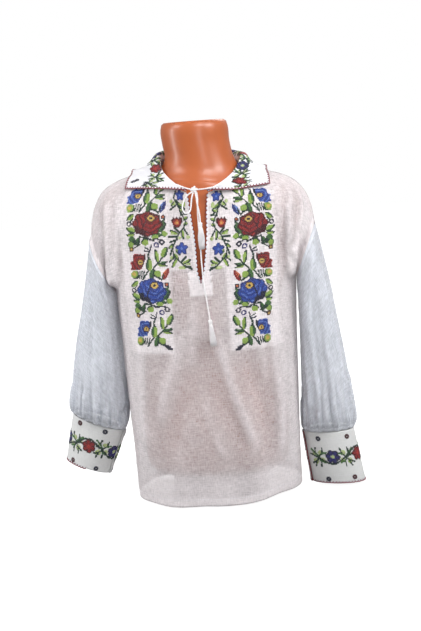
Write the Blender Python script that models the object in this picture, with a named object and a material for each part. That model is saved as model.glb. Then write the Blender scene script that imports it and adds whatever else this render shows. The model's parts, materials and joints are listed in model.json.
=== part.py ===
"""A child's embroidered pull-over shirt, a Romanian ie with collar and cuffs, worn by a smooth torso form.

Lengths in this file are millimetres, and are turned into metres as each mesh is made. X runs to the
wearer's left, Y to the back and Z up. The origin is on the ground, on the form's own upright axis.
The shirt is sewn from flat pieces: a front with a throat slit, a back, two gathered sleeves, two cuffs,
a turned-down collar, a facing behind the slit's end, and a drawstring with two tassels.
"""

import math
from collections import namedtuple

import bmesh
import bpy
import numpy as np
from mathutils import Vector
from mathutils.bvhtree import BVHTree

METRES = 0.001

# Cloth
CLOTH_WALL = 1.2
DOUBLED_WALL = 1.8
SEAM_GAP = 0.3
FORM_CLEARANCE = CLOTH_WALL + 0.9
FACING_WALL = 1.0

# Heights on the body
HEM_Z = 4.0
HEM_RISE_AT_LEFT = 9.0
HEM_RISE_REACH = 200.0
UNDERARM_Z = 364.0
MIDDLE_BULGE = 5.0
THROAT_Z = 524.0
NECK_SIDE_Z = 568.0
NECK_BACK_Z = 576.0

# Throat slit
SLIT_TOP_HALF = 18.0
SLIT_FOOT_HALF = 1.2
SLIT_LOW_HALF = 6.0
SLIT_FOOT_RISE = 10.0
SLIT_DRIFT = 5.0
DRIFT_REACH = 110.0
THROAT_Y = -77.0
NECK_SIDE_X = 63.0
NECK_BACK_Y = 62.0

# How the upper shirt hangs askew: over to the wearer's left, and lower on that side of the neck
ASKEW_SHIFT = 6.8
ASKEW_FOOT_Z, ASKEW_RISE = 370.0, 85.0
ASKEW_REACH = 135.0
ASKEW_NECK_Z, ASKEW_FADE = 610.0, 45.0
DROP_FOOT_Z = 485.0
DROP_PLACES = (-150.0, -70.0, 0.0, 62.0, 118.0, 190.0)
DROPS = (0.0, 1.5, 6.0, 12.0, 8.0, 3.0)

# Armhole: an egg that leans outwards, from the underarm up to the outside of the upper arm
ARMHOLE_FOOT = (153.0, UNDERARM_Z)
ARMHOLE_TOP = (190.0, 452.0)
ARMHOLE_DEPTH = 54.0

# Grids
INNER_COLUMNS = 7
OUTER_COLUMNS = 10
NECK_COLUMNS = 4
UPPER_ROWS = 9
BACK_COLUMNS = 11
BACK_NECK_COLUMNS = 4
SLEEVE_AROUND = 64
SLEEVE_RINGS = 10
COLLAR_ALONG = 44
RELAX_ROUNDS = 60
CLEARING_ROUNDS = 10
SAMPLES_ACROSS_FACE = 4
FOLD_MARGIN = 20.0
ON_SEAM = 1.0
SMOOTH_ANGLE = math.radians(40)

FormRing = namedtuple("FormRing", "z half_width front back sharpness")
BodyRing = namedtuple("BodyRing", "z half_width front back fullness")
SleeveRing = namedtuple("SleeveRing", "along outer_x outer_z inner_x inner_z depth pleat")
CollarStation = namedtuple("CollarStation", "along fold middle edge")
Fold = namedtuple("Fold", "x_top z_top x_foot z_foot half_width rise fade_top fade_foot")
SleeveFold = namedtuple("SleeveFold", "angle drift start end half_width rise")

FORM_RINGS = (
    FormRing(46, 112, 80, 78, 0.95),
    FormRing(52, 119, 85, 83, 0.95),
    FormRing(70, 123, 88, 87, 0.95),
    FormRing(120, 126, 91, 92, 0.95),
    FormRing(190, 119, 87, 84, 0.95),
    FormRing(250, 115, 85, 79, 0.95),
    FormRing(310, 121, 90, 82, 0.95),
    FormRing(360, 131, 94, 85, 0.95),
    FormRing(400, 143, 94, 86, 1.0),
    FormRing(430, 158, 92, 86, 1.0),
    FormRing(458, 169, 88, 84, 1.05),
    FormRing(484, 173, 82, 80, 1.15),
    FormRing(504, 170, 77, 76, 1.25),
    FormRing(520, 161, 73, 73, 1.5),
    FormRing(531, 147, 71, 71, 1.85),
    FormRing(539, 128, 69, 69, 2.1),
    FormRing(545, 106, 66, 67, 2.0),
    FormRing(552, 84, 62, 63, 1.5),
    FormRing(561, 68, 58, 60, 1.15),
    FormRing(574, 59, 56, 58, 1.0),
    FormRing(598, 56, 55, 56, 1.0),
    FormRing(621, 56, 55, 56, 1.0),
    FormRing(629, 54, 53, 54, 1.0),
    FormRing(632, 50, 49, 50, 1.0),
)
FORM_AROUND = 32

FOOT_HALF_WIDTH = 82.0
FOOT_DEPTH = 62.0
FOOT_BEVEL = 8.0
FOOT_AROUND = 32

BODY_RINGS = (
    BodyRing(HEM_Z, 141, 112, 104, 2.35),
    BodyRing(60, 142, 112, 104, 2.35),
    BodyRing(180, 146, 109, 100, 2.3),
    BodyRing(300, 150, 105, 95, 2.25),
    BodyRing(UNDERARM_Z, 153, 103, 92, 2.2),
)
LOWER_ROW_HEIGHTS = (HEM_Z, 34, 80, 140, 200, 256, 304, 340, UNDERARM_Z)

# The shoulder seam, from the side of the neck to the top of the armhole, as (x, z)
SHOULDER_SEAM = (
    (NECK_SIDE_X, NECK_SIDE_Z),
    (82, 559),
    (104, 553),
    (126, 547),
    (148, 537),
    (166, 523),
    (178, 504),
    (186, 480),
    ARMHOLE_TOP,
)

# Half of the neck edge, from the top of the slit to the side of the neck, and on to the back
NECK_FRONT = (
    (SLIT_TOP_HALF, THROAT_Y, THROAT_Z),
    (36, -69, 531),
    (53, -48, 543),
    (61, -24, 557),
    (NECK_SIDE_X, 0, NECK_SIDE_Z),
)
NECK_BACK = (
    (0, NECK_BACK_Y, NECK_BACK_Z),
    (24, 59, 575.5),
    (45, 46, 574),
    (58, 24, 571),
    (NECK_SIDE_X, 0, NECK_SIDE_Z),
)

# Soft folds of the front, in the plane of the front view. rise is outwards, and below 0 it is a trough.
FRONT_FOLDS = (
    Fold(150, 520, 147, 382, 8.0, 10.0, 26, 12),
    Fold(137, 528, 134, 390, 6.5, -4.5, 30, 26),
    Fold(126, 530, 124, 430, 7.0, 3.0, 25, 40),
    Fold(-150, 520, -147, 380, 8.0, 10.0, 26, 12),
    Fold(-138, 528, -134, 388, 6.5, -5.0, 30, 26),
    Fold(-124, 532, -127, 440, 7.0, 3.0, 25, 40),
    Fold(26, 330, 66, 0, 22, 4.5, 70, 30),
    Fold(-12, 300, -16, 0, 20, -3.5, 80, 30),
    Fold(-58, 330, -62, 0, 24, 3.5, 80, 30),
    Fold(104, 330, 112, 0, 16, -4.0, 90, 30),
    Fold(-112, 330, -108, 0, 16, -3.0, 90, 30),
    Fold(128, 300, 133, 0, 12, 3.0, 60, 20),
)
BACK_FOLDS = (
    Fold(60, 480, 74, 0, 22, 5.0, 60, 30),
    Fold(22, 500, 26, 0, 18, -4.0, 60, 30),
    Fold(-22, 470, -20, 0, 22, 4.5, 60, 30),
    Fold(-68, 500, -78, 0, 20, -4.0, 60, 30),
    Fold(-110, 470, -112, 0, 16, 3.5, 60, 30),
    Fold(112, 470, 108, 0, 16, -3.0, 60, 30),
)

# Sleeves, as seen from the front: the outer and inner edge of each ring, its depth and its pleats
LEFT_SLEEVE = (
    SleeveRing(0.00, 190.5, 451.5, 153.5, 363.5, 54, 0.0),
    SleeveRing(0.09, 196, 421, 154, 345, 56, 0.0),
    SleeveRing(0.19, 203, 388, 154, 322, 57, 0.3),
    SleeveRing(0.30, 209, 350, 153.5, 292, 56, 0.5),
    SleeveRing(0.45, 217, 292, 153, 250, 54, 0.8),
    SleeveRing(0.60, 225, 238, 152, 208, 52, 1.3),
    SleeveRing(0.76, 231, 180, 151, 165, 50, 2.2),
    SleeveRing(0.88, 235, 136, 149, 130, 45, 3.4),
    SleeveRing(0.95, 236.5, 114, 148.6, 111, 37, 3.0),
    SleeveRing(1.00, 235, 101.0, 149, 99.6, 29, 1.2),
)
RIGHT_SLEEVE = (
    SleeveRing(0.00, 190.5, 451.5, 153.5, 363.5, 54, 0.0),
    SleeveRing(0.09, 194, 421, 154, 345, 56, 0.0),
    SleeveRing(0.19, 201, 386, 154, 322, 57, 0.3),
    SleeveRing(0.30, 211, 346, 153.5, 294, 56, 0.5),
    SleeveRing(0.45, 224, 296, 153, 256, 55, 0.8),
    SleeveRing(0.60, 235, 250, 152, 218, 53, 1.3),
    SleeveRing(0.76, 243, 203, 151.5, 176, 51, 2.2),
    SleeveRing(0.88, 248.5, 173, 152.5, 142, 46, 3.4),
    SleeveRing(0.95, 250.5, 159, 156, 124, 38, 3.0),
    SleeveRing(1.00, 249, 149.2, 160, 114.0, 29, 1.2),
)
PLEATS = 16
PLEAT_SWAY = 0.6
SLEEVE_FLAT_AT_TOP = 130.0
SLEEVE_FLAT_AT_CUFF = 70.0
LEFT_SLEEVE_FOLDS = (
    SleeveFold(62, -16, 0.04, 0.62, 13, 4.5),
    SleeveFold(92, 10, 0.10, 0.85, 14, -4.0),
    SleeveFold(28, 6, 0.12, 0.80, 13, -3.5),
    SleeveFold(128, 14, 0.05, 0.60, 15, 3.5),
    SleeveFold(250, 8, 0.10, 0.80, 14, 4.0),
    SleeveFold(300, -8, 0.10, 0.80, 14, -4.0),
)
RIGHT_SLEEVE_FOLDS = (
    SleeveFold(60, 44, 0.05, 0.66, 12, -5.0),
    SleeveFold(38, 40, 0.05, 0.60, 13, 4.0),
    SleeveFold(120, 10, 0.15, 0.80, 14, 3.5),
    SleeveFold(250, 8, 0.10, 0.80, 14, 4.0),
    SleeveFold(300, -8, 0.10, 0.80, 14, -4.0),
)

# Cuffs: the two ends of each ring, as seen from the front
CuffEnds = namedtuple("CuffEnds", "outer_x outer_z inner_x inner_z depth")
LEFT_CUFF_TOP = CuffEnds(235.0, 99.8, 149.0, 98.4, 29)
LEFT_CUFF_FOOT = CuffEnds(250.0, 9.0, 159.0, 12.0, 25)
RIGHT_CUFF_TOP = CuffEnds(249.4, 148.0, 160.6, 112.9, 29)
RIGHT_CUFF_FOOT = CuffEnds(268.0, 68.0, 194.0, 38.0, 25)
CUFF_OPENING_ANGLE = 184.0
CUFF_OVERLAP_ANGLE = 22.0
CUFF_LIFT = 2.4
CUFF_BELLY = 0.03
CUFF_AROUND = 36
CUFF_ROWS = 4

# Collar: from the front end round to the back of the neck, all on the wearer's left half
COLLAR_STATIONS = (
    CollarStation(0.00, (20, -81, 529), (66, -68, 531), (117, -41, 531)),
    CollarStation(0.16, (39, -73, 540), (75, -57, 540), (115, -24, 544)),
    CollarStation(0.36, (60, -42, 560), (85, -28, 556), (109, -2, 553)),
    CollarStation(0.55, (68, 0, 580), (84, 10, 570), (99, 26, 553)),
    CollarStation(0.76, (55, 42, 587), (67, 58, 570), (79, 70, 541)),
    CollarStation(1.00, (0, 67, 589), (0, 84, 571), (0, 95, 531)),
)
COLLAR_ROWS = (0.0, 0.09, 0.18, 0.32, 0.54, 0.78, 1.0)
COLLAR_LINES = (0.0, 0.16, 0.58, 1.0)
COLLAR_SEAM_GAP = 1.2
COLLAR_LIFT = 1.6
COLLAR_CLEARANCE = 0.8

# Drawstring
CORD_DIAMETER = 2.6
CORD_STEP = 2.8 * CORD_DIAMETER
CORD_LEAST_POINTS = 6
KNOT_CENTRE = (-3.0, -93.0, 529.0)
KNOT_RADII = (5.0, 3.6, 4.2)
CORD_LEFT_END = (
    (38.5, -86.5, 537.5),
    (30, -89.5, 534.5),
    (19, -92, 531.6),
    (8, -93.4, 530),
    (2.4, -93.4, 529.4),
)
CORD_RIGHT_END = (
    (-31, -87.5, 537),
    (-26, -90, 535.2),
    (-19, -92.3, 532.6),
    (-13, -93.3, 530.8),
    (-8.3, -93.4, 529.6),
)
CORD_LOOP = (
    (-6, -95.4, 525.6),
    (-11.5, -97.4, 521.5),
    (-17.5, -98.8, 514),
    (-21.5, -99.8, 504),
    (-22.5, -100.8, 495),
    (-18.5, -101.8, 487.5),
    (-12, -101.6, 489),
    (-9, -100.6, 498),
    (-7.8, -99.2, 508),
    (-6.2, -97.4, 518),
    (-4.4, -95.6, 524.6),
)
CORD_SHORT_TAIL = (
    (-1.4, -94.8, 525),
    (0.2, -97.6, 516),
    (1.4, -100.6, 504),
    (3.4, -103.4, 492),
    (4.6, -105.8, 482),
    (4.9, -107.2, 472.3),
)
CORD_LONG_TAIL = (
    (1, -94, 525.6),
    (1.8, -94.4, 514),
    (0.8, -95.2, 497.4),
    (0.4, -96.2, 473.4),
    (1.6, -98.6, 444.6),
    (4.6, -102.2, 415.8),
    (8.2, -106, 391.8),
    (10.4, -109.2, 372.6),
    (12.4, -111.2, 353.4),
    (14.6, -112.8, 334.2),
    (16.4, -114, 316.3),
)
TASSEL_LENGTH = 44.0
TASSEL_HEAD_RADIUS = 3.3
TASSEL_HEAD_HEIGHT = 7.0
TASSEL_STRAND_RADIUS = 0.52
TASSEL_STRAND_BOW = 0.5
TASSEL_ROOT_DROP = 0.5

# The tassels' two rings of strands: how many, their reach from the middle at root and tip, and their turn
StrandRing = namedtuple("StrandRing", "count root tip phase")
TASSEL_RINGS = (
    StrandRing(10, 2.35, 5.0, 0.0),
    StrandRing(5, 0.95, 2.3, 0.4),
)

# Facing behind the end of the slit
FACING_HALF_WIDTH = 18.0
FACING_FOOT_Z = 356.0
FACING_TOP_Z = 397.0
FACING_ROWS = 5
FACING_SETBACK = 0.4


# ---------------------------------------------------------------------------------------------------
# Curves and grids
# ---------------------------------------------------------------------------------------------------
def smooth_through(knots, values, at):
    """Values at the places `at` on the Catmull-Rom curve through the given rows of values."""
    knots = np.asarray(knots, float)
    values = np.asarray(values, float)
    at = np.atleast_1d(np.asarray(at, float))
    slopes = np.gradient(values, knots, axis=0)
    index = np.clip(np.searchsorted(knots, at, side="right") - 1, 0, len(knots) - 2)
    span = (knots[index + 1] - knots[index])[:, None]
    share = (at - knots[index])[:, None] / span
    square, cube = share**2, share**3
    return (
        (2 * cube - 3 * square + 1) * values[index]
        + (cube - 2 * square + share) * span * slopes[index]
        + (3 * square - 2 * cube) * values[index + 1]
        + (cube - square) * span * slopes[index + 1]
    )


def along_line(points, shares):
    """Points at the given shares of a polyline's length."""
    points = np.asarray(points, float)
    steps = np.linalg.norm(np.diff(points, axis=0), axis=1)
    travelled = np.concatenate([[0.0], np.cumsum(steps)])
    at = np.asarray(shares) * travelled[-1]
    return np.stack([np.interp(at, travelled, points[:, k]) for k in range(3)], axis=1)


def rounded_curve(points, samples=60):
    """A fine polyline on the smooth curve through a few points."""
    points = np.asarray(points, float)
    knots = np.concatenate([[0.0], np.cumsum(np.linalg.norm(np.diff(points, axis=0), axis=1))])
    return smooth_through(knots, points, np.linspace(0, knots[-1], samples))


def ring_sizes(rings, z):
    """The sizes of a stack of rings at height z, as a row of the table without its height."""
    table = np.array(rings, float)
    return smooth_through(table[:, 0], table[:, 1:], z)[0]


def body_quarter(z, facing, first_x=0.0):
    """A fine polyline from the body's centre line to its side seam. facing is -1 at the front, 1 behind."""
    half_width, front, back, fullness = ring_sizes(BODY_RINGS, z)
    depth = front if facing < 0 else back
    turn = np.linspace(0, math.pi / 2, 120)
    x = half_width * np.sin(turn) ** (2 / fullness)
    y = facing * depth * np.cos(turn) ** (2 / fullness)
    points = np.stack([x, y, np.full_like(x, z)], axis=1)
    points = points[points[:, 0] > first_x]
    return np.vstack([[first_x, facing * depth, z], points])


def unit(vectors):
    """The vectors at length 1."""
    return vectors / np.maximum(np.linalg.norm(vectors, axis=-1, keepdims=True), 1e-9)


def grid_normals(grid, closed=False):
    """Unit normals of a grid of points, rows first. closed joins each row's last column to its first."""
    if closed:
        across = np.roll(grid, -1, axis=1) - np.roll(grid, 1, axis=1)
    else:
        across = np.gradient(grid, axis=1)
    upwards = np.gradient(grid, axis=0)
    return unit(np.cross(across, upwards))


def bump(distance, half_width):
    """A smooth hump, 1 in the middle and 0 from twice half_width on."""
    reach = np.clip(np.abs(distance) / (2 * half_width), 0, 1)
    return (np.cos(math.pi * reach) + 1) / 2


def fade(amount, length):
    """0 below zero, rising smoothly to 1 over the given length."""
    share = np.clip(amount / length, 0, 1)
    return share * share * (3 - 2 * share)


def folded(grid, normals, folds):
    """The grid with each fold raised along the normals, by its distance in the front view.

    The folds die out towards the grid's two sides, which are sewn to their neighbours.
    """
    moved = grid.copy()
    steps = np.linalg.norm(np.diff(grid, axis=1), axis=2)
    from_start = np.concatenate([np.zeros((len(grid), 1)), np.cumsum(steps, axis=1)], axis=1)
    to_end = from_start[:, -1:] - from_start
    inside = fade(np.minimum(from_start, to_end), FOLD_MARGIN)
    for fold in folds:
        run = (fold.z_top - grid[:, :, 2]) / (fold.z_top - fold.z_foot)
        middle = fold.x_top + np.clip(run, 0, 1) * (fold.x_foot - fold.x_top)
        shape = bump(grid[:, :, 0] - middle, fold.half_width)
        shape *= fade(fold.z_top - grid[:, :, 2], fold.fade_top)
        shape *= fade(grid[:, :, 2] - fold.z_foot + fold.fade_foot, fold.fade_foot)
        moved += (fold.rise * shape * inside)[:, :, None] * normals
    return moved


# ---------------------------------------------------------------------------------------------------
# Objects
# ---------------------------------------------------------------------------------------------------
def plain_material(name, colour, roughness):
    """A plain dielectric material."""
    material = bpy.data.materials.new(name)
    material.use_nodes = True
    shader = material.node_tree.nodes["Principled BSDF"]
    shader.inputs["Base Color"].default_value = (*colour, 1.0)
    shader.inputs["Roughness"].default_value = roughness
    return material


def mesh_object(name, points, faces, material):
    """An object in metres from points in millimetres, with its faces turned outwards."""
    mesh = bpy.data.meshes.new(name)
    mesh.from_pydata([tuple(p) for p in np.asarray(points, float) * METRES], [], faces)
    shape = bmesh.new()
    shape.from_mesh(mesh)
    bmesh.ops.recalc_face_normals(shape, faces=shape.faces)
    shape.to_mesh(mesh)
    shape.free()
    mesh.materials.append(material)
    mesh.shade_smooth()
    mesh.set_sharp_from_angle(angle=SMOOTH_ANGLE)
    thing = bpy.data.objects.new(name, mesh)
    bpy.context.scene.collection.objects.link(thing)
    return thing


def wall_object(name, outer, normals, thickness, material, closed=False, left_out=()):
    """A closed cloth wall: the outer grid, an inner one a wall's thickness behind it, and their rims.

    left_out holds the (row, column) of faces that aren't made, such as those in a slit.
    """
    rows, columns = outer.shape[:2]
    inner = outer - normals * thickness
    points = np.vstack([outer.reshape(-1, 3), inner.reshape(-1, 3)])
    behind = rows * columns
    spans = columns if closed else columns - 1
    quads = []
    for row in range(rows - 1):
        for column in range(spans):
            if (row, column) in left_out:
                continue
            after = (column + 1) % columns
            quads.append(
                (
                    row * columns + column,
                    row * columns + after,
                    (row + 1) * columns + after,
                    (row + 1) * columns + column,
                )
            )
    faces = list(quads)
    faces += [tuple(behind + corner for corner in reversed(quad)) for quad in quads]
    sides = {}
    for quad in quads:
        for start, end in zip(quad, quad[1:] + quad[:1]):
            sides[(start, end)] = True
    for start, end in sides:
        if (end, start) not in sides:
            faces.append((end, start, behind + start, behind + end))
    used = sorted({corner for face in faces for corner in face})
    renumbered = {old: new for new, old in enumerate(used)}
    faces = [tuple(renumbered[corner] for corner in face) for face in faces]
    return mesh_object(name, points[used], faces, material)


def loft_object(name, rings, material):
    """A closed solid through a stack of rings of equal length, capped at both ends."""
    count = len(rings[0])
    points = np.vstack(rings)
    faces = [tuple(range(count)), tuple(range(len(points) - count, len(points)))]
    for row in range(len(rings) - 1):
        for column in range(count):
            after = (column + 1) % count
            faces.append(
                (
                    row * count + column,
                    row * count + after,
                    (row + 1) * count + after,
                    (row + 1) * count + column,
                )
            )
    return mesh_object(name, points, faces, material)


def tree_of(thing):
    """A search tree of an object's faces, in millimetres."""
    points = [Vector(vertex.co) / METRES for vertex in thing.data.vertices]
    return BVHTree.FromPolygons(points, [tuple(face.vertices) for face in thing.data.polygons])


def tree_of_grids(grids):
    """A search tree of the outer surfaces of several grids."""
    points, faces = [], []
    for grid in grids:
        first, columns = len(points), grid.shape[1]
        points += [Vector(point) for point in grid.reshape(-1, 3)]
        for row in range(grid.shape[0] - 1):
            for column in range(columns - 1):
                corner = first + row * columns + column
                faces.append((corner, corner + 1, corner + columns + 1, corner + columns))
    return BVHTree.FromPolygons(points, faces)


def shortfall(points, tree, clearance):
    """How far each point must move to stand clear of the tree's surface, as vectors straight out of it."""
    moves = np.zeros_like(points)
    for index in np.ndindex(points.shape[:-1]):
        point = Vector(points[index])
        place, normal, _, _ = tree.find_nearest(point)
        missing = clearance - (point - place).dot(normal)
        if missing > 0:
            moves[index] = normal * missing
    return moves


def pushed_clear(points, tree, clearance):
    """The points, with those that lie too near the tree's surface moved straight out of it."""
    return points + shortfall(points, tree, clearance)


def cleared(grid, tree, clearance):
    """The grid moved until its faces, sampled closely, all stand clear of the tree's surface."""
    moved = pushed_clear(grid, tree, clearance)
    places = np.linspace(0, 1, SAMPLES_ACROSS_FACE)
    samples = [((1 - u) * (1 - w), u * (1 - w), (1 - u) * w, u * w) for u in places for w in places]
    samples += [(0.5, 0, 0, 0.5), (0, 0.5, 0.5, 0), (0.25, 0, 0, 0.75), (0.75, 0, 0, 0.25)]
    samples += [(0, 0.25, 0.75, 0), (0, 0.75, 0.25, 0)]
    for _ in range(CLEARING_ROUNDS):
        most = np.zeros_like(moved)
        corners = (moved[:-1, :-1], moved[:-1, 1:], moved[1:, :-1], moved[1:, 1:])
        targets = (most[:-1, :-1], most[:-1, 1:], most[1:, :-1], most[1:, 1:])
        for weights in samples:
            sample = sum(weight * corner for weight, corner in zip(weights, corners))
            pushes = shortfall(sample, tree, clearance)
            for weight, target in zip(weights, targets):
                lengths = np.linalg.norm(pushes, axis=2) * (weight > 0.2)
                longer = lengths > np.linalg.norm(target, axis=2)
                target[longer] = pushes[longer]
        if np.abs(most).max() < 0.01:
            break
        moved = moved + most
    return moved


# ---------------------------------------------------------------------------------------------------
# The torso form and its foot
# ---------------------------------------------------------------------------------------------------
def form_section(ring):
    """One level of the form. A sharpness over 1 draws the sides out into shoulders."""
    turns = np.linspace(0, 2 * math.pi, FORM_AROUND, endpoint=False)
    x = ring.half_width * np.cos(turns)
    depth = np.where(np.sin(turns) < 0, ring.front, ring.back)
    y = depth * np.sign(np.sin(turns)) * np.abs(np.sin(turns)) ** ring.sharpness
    return np.stack([x, y, np.full_like(x, ring.z)], axis=1)


def make_form(material):
    """The smooth torso: hips, chest, rounded shoulders and a plain neck, with a flat underside."""
    return loft_object("form_torso", [form_section(ring) for ring in FORM_RINGS], material)


def make_foot(material):
    """The plain oval foot that carries the torso clear of the ground."""
    turns = np.linspace(0, 2 * math.pi, FOOT_AROUND, endpoint=False)
    top = FORM_RINGS[0].z - SEAM_GAP
    levels = ((0.0, 1.0), (top - FOOT_BEVEL, 0.97), (top, 0.9))
    rings = [
        np.stack(
            [
                FOOT_HALF_WIDTH * scale * np.cos(turns),
                FOOT_DEPTH * scale * np.sin(turns),
                np.full_like(turns, z),
            ],
            axis=1,
        )
        for z, scale in levels
    ]
    return loft_object("form_foot", rings, material)


# ---------------------------------------------------------------------------------------------------
# Front and back
# ---------------------------------------------------------------------------------------------------
def armhole_half(facing, count):
    """The armhole's front or back half, from the underarm to its top, on the wearer's left."""
    foot, top = np.array(ARMHOLE_FOOT), np.array(ARMHOLE_TOP)
    centre, half = (foot + top) / 2, (top - foot) / 2
    turns = np.linspace(math.pi, 0, count)
    x = centre[0] + half[0] * np.cos(turns)
    z = centre[1] + half[1] * np.cos(turns)
    y = facing * (ARMHOLE_DEPTH * np.sin(turns) + SEAM_GAP / 2)
    return np.stack([x, y, z], axis=1)


def column_shares(inner, outer):
    """Shares of the way from the centre line to the side, closer together towards the side."""
    turning = 0.66
    return np.concatenate(
        [np.linspace(0, turning, inner + 1), np.linspace(turning, 1, outer + 1)[1:]]
    )


def half_panel(facing, shares, neck_columns, neck_line, first_low, first_high):
    """The wearer's left half of the front or back, as a grid from the hem up and from the centre out.

    Below the underarm the rows follow the body's rings. Above it they fill the patch between the
    underarm's row, the neck and shoulder line, the centre line and the armhole. first_low and first_high
    are the x of the centre edge below the underarm and at the neck, above 0 where a slit parts the halves.
    """
    seam_y = facing * SEAM_GAP / 2
    rows = []
    for z in LOWER_ROW_HEIGHTS:
        line = body_quarter(z, facing, first_low)
        line[-1, 1] = seam_y
        rows.append(along_line(line, shares))
    lower = np.array(rows)

    rise = np.linspace(0, 1, UPPER_ROWS + 1)
    foot = lower[-1]
    neck = rounded_curve(neck_line)
    shoulder = np.array([(x, seam_y, z) for x, z in SHOULDER_SEAM])
    neck[-1, 1] = seam_y
    top = np.vstack(
        [
            along_line(neck, np.linspace(0, 1, neck_columns + 1)),
            along_line(shoulder, np.linspace(0, 1, len(shares) - neck_columns))[1:],
        ]
    )
    side = armhole_half(facing, UPPER_ROWS + 1)
    side[0] = foot[-1]
    side[-1] = top[-1]
    middle = foot[0] + (top[0] - foot[0]) * rise[:, None]
    middle[:, 1] += facing * MIDDLE_BULGE * np.sin(math.pi * rise)
    if first_high > 0:
        middle[1:, 0] = np.linspace(SLIT_LOW_HALF, first_high, UPPER_ROWS)
    u, w = np.linspace(0, 1, len(shares))[None, :, None], rise[:, None, None]
    corners = (
        (1 - u) * (1 - w) * foot[0] + u * (1 - w) * foot[-1]
        + (1 - u) * w * top[0] + u * w * top[-1]
    )
    patch = (
        (1 - w) * foot[None] + w * top[None]
        + (1 - u) * middle[:, None] + u * side[:, None]
        - corners
    )
    return np.vstack([lower, patch[1:]])


def draped(grid, tree):
    """Lets the rows above the underarm settle over the form like a light membrane, more so higher up.

    The edges stay where they are sewn.
    """
    settled = grid.copy()
    first = len(LOWER_ROW_HEIGHTS)
    slack = fade(np.arange(len(grid) - 1 - first) + 0.5, 4.0)[:, None, None]
    for _ in range(RELAX_ROUNDS):
        inside = settled[first:-1, 1:-1]
        spread = (
            settled[first - 1 : -2, 1:-1] + settled[first + 1 :, 1:-1]
            + settled[first:-1, :-2] + settled[first:-1, 2:]
        ) / 4
        moved = inside + 0.5 * slack * (spread - inside)
        settled[first:-1, 1:-1] = pushed_clear(moved, tree, FORM_CLEARANCE)
    return settled


def mirrored(half):
    """The wearer's right half of a grid, with its columns from the side in to the centre."""
    other = half[:, ::-1].copy()
    other[:, :, 0] *= -1
    return other


def armhole_rows():
    """The rows of a body panel whose outer ends lie on the armhole."""
    return slice(len(LOWER_ROW_HEIGHTS) - 1, None)


def mitred(normals, grid):
    """Normals that turn into the seams' own planes along them, so that the pieces' rims face each other.

    At the underarm, where the sleeve hangs back to back with the body, each keeps its own normal.
    """
    safe = normals.copy()
    on_seam = np.abs(grid[:, :, 1]) < ON_SEAM
    safe[on_seam, 1] = 0.0
    centre = np.array([ARMHOLE_FOOT[0] + ARMHOLE_TOP[0], 0, ARMHOLE_FOOT[1] + ARMHOLE_TOP[1]]) / 2
    share = np.linspace(0, 1, UPPER_ROWS + 1)[:, None]
    for column in (0, -1):
        rim = grid[armhole_rows(), column]
        side = np.sign(rim[:, :1])
        outwards = unit(rim - centre * np.hstack([side, side, np.ones_like(side)]))
        own = unit(safe[armhole_rows(), column])
        safe[armhole_rows(), column] = own * (1 - share) + outwards * share
    return unit(safe)


def sewn_down(grid, sewn, facing):
    """The grid with its points on the side and shoulder seams back beside the other panel."""
    settled = grid.copy()
    settled[sewn, 1] = facing * SEAM_GAP / 2
    free = ~sewn
    least = facing * (SEAM_GAP / 2 + CLOTH_WALL)
    settled[free, 1] = np.where(
        facing * settled[free, 1] < facing * least, least, settled[free, 1]
    )
    return settled


def hung(grid, facing):
    """The grid as the shirt hangs a little askew: slit and hem drift and rise to the wearer's left."""
    moved = grid.copy()
    x, z = grid[:, :, 0], grid[:, :, 2]
    below_throat = fade(THROAT_Z - z, THROAT_Z - UNDERARM_Z)
    if facing < 0:
        near_slit = fade(1 - np.abs(x) / DRIFT_REACH, 1.0)
        moved[:, :, 0] += SLIT_DRIFT * below_throat * near_slit
        moved[:, :, 2] += SLIT_FOOT_RISE * bump(z - UNDERARM_Z, 24.0) * near_slit
    near_hem = fade(1 - (z - HEM_Z) / HEM_RISE_REACH, 1.0)
    moved[:, :, 2] += HEM_RISE_AT_LEFT * fade(x, BODY_RINGS[0].half_width) * near_hem
    return moved


def finished_panel(flat, folds, tree, facing):
    """A panel with its folds, clear of the form and still on its seams, and the panel's normals."""
    grid = hung(flat, facing)
    sewn = np.abs(grid[:, :, 1]) < ON_SEAM
    shaped = folded(grid, grid_normals(grid), folds)
    shaped[armhole_rows(), 0] = grid[armhole_rows(), 0]
    shaped[armhole_rows(), -1] = grid[armhole_rows(), -1]
    shaped = sewn_down(cleared(shaped, tree, FORM_CLEARANCE), sewn, facing)
    return shaped, mitred(grid_normals(shaped), shaped)


def front_grid(tree):
    """The whole front and its normals. Its two middle columns are the slit's edges."""
    shares = column_shares(INNER_COLUMNS, OUTER_COLUMNS)
    half = half_panel(-1, shares, NECK_COLUMNS, NECK_FRONT, SLIT_FOOT_HALF, SLIT_TOP_HALF)
    half = draped(half, tree)
    return finished_panel(np.hstack([mirrored(half), half]), FRONT_FOLDS, tree, -1)


def make_front(tree, material):
    """The front, with its open throat slit."""
    grid, normals = front_grid(tree)
    middle = grid.shape[1] // 2 - 1
    first_open = len(LOWER_ROW_HEIGHTS) - 1
    slit = {(row, middle) for row in range(first_open, grid.shape[0] - 1)}
    wall_object("shirt_front", grid, normals, CLOTH_WALL, material, left_out=slit)
    return grid


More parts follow.
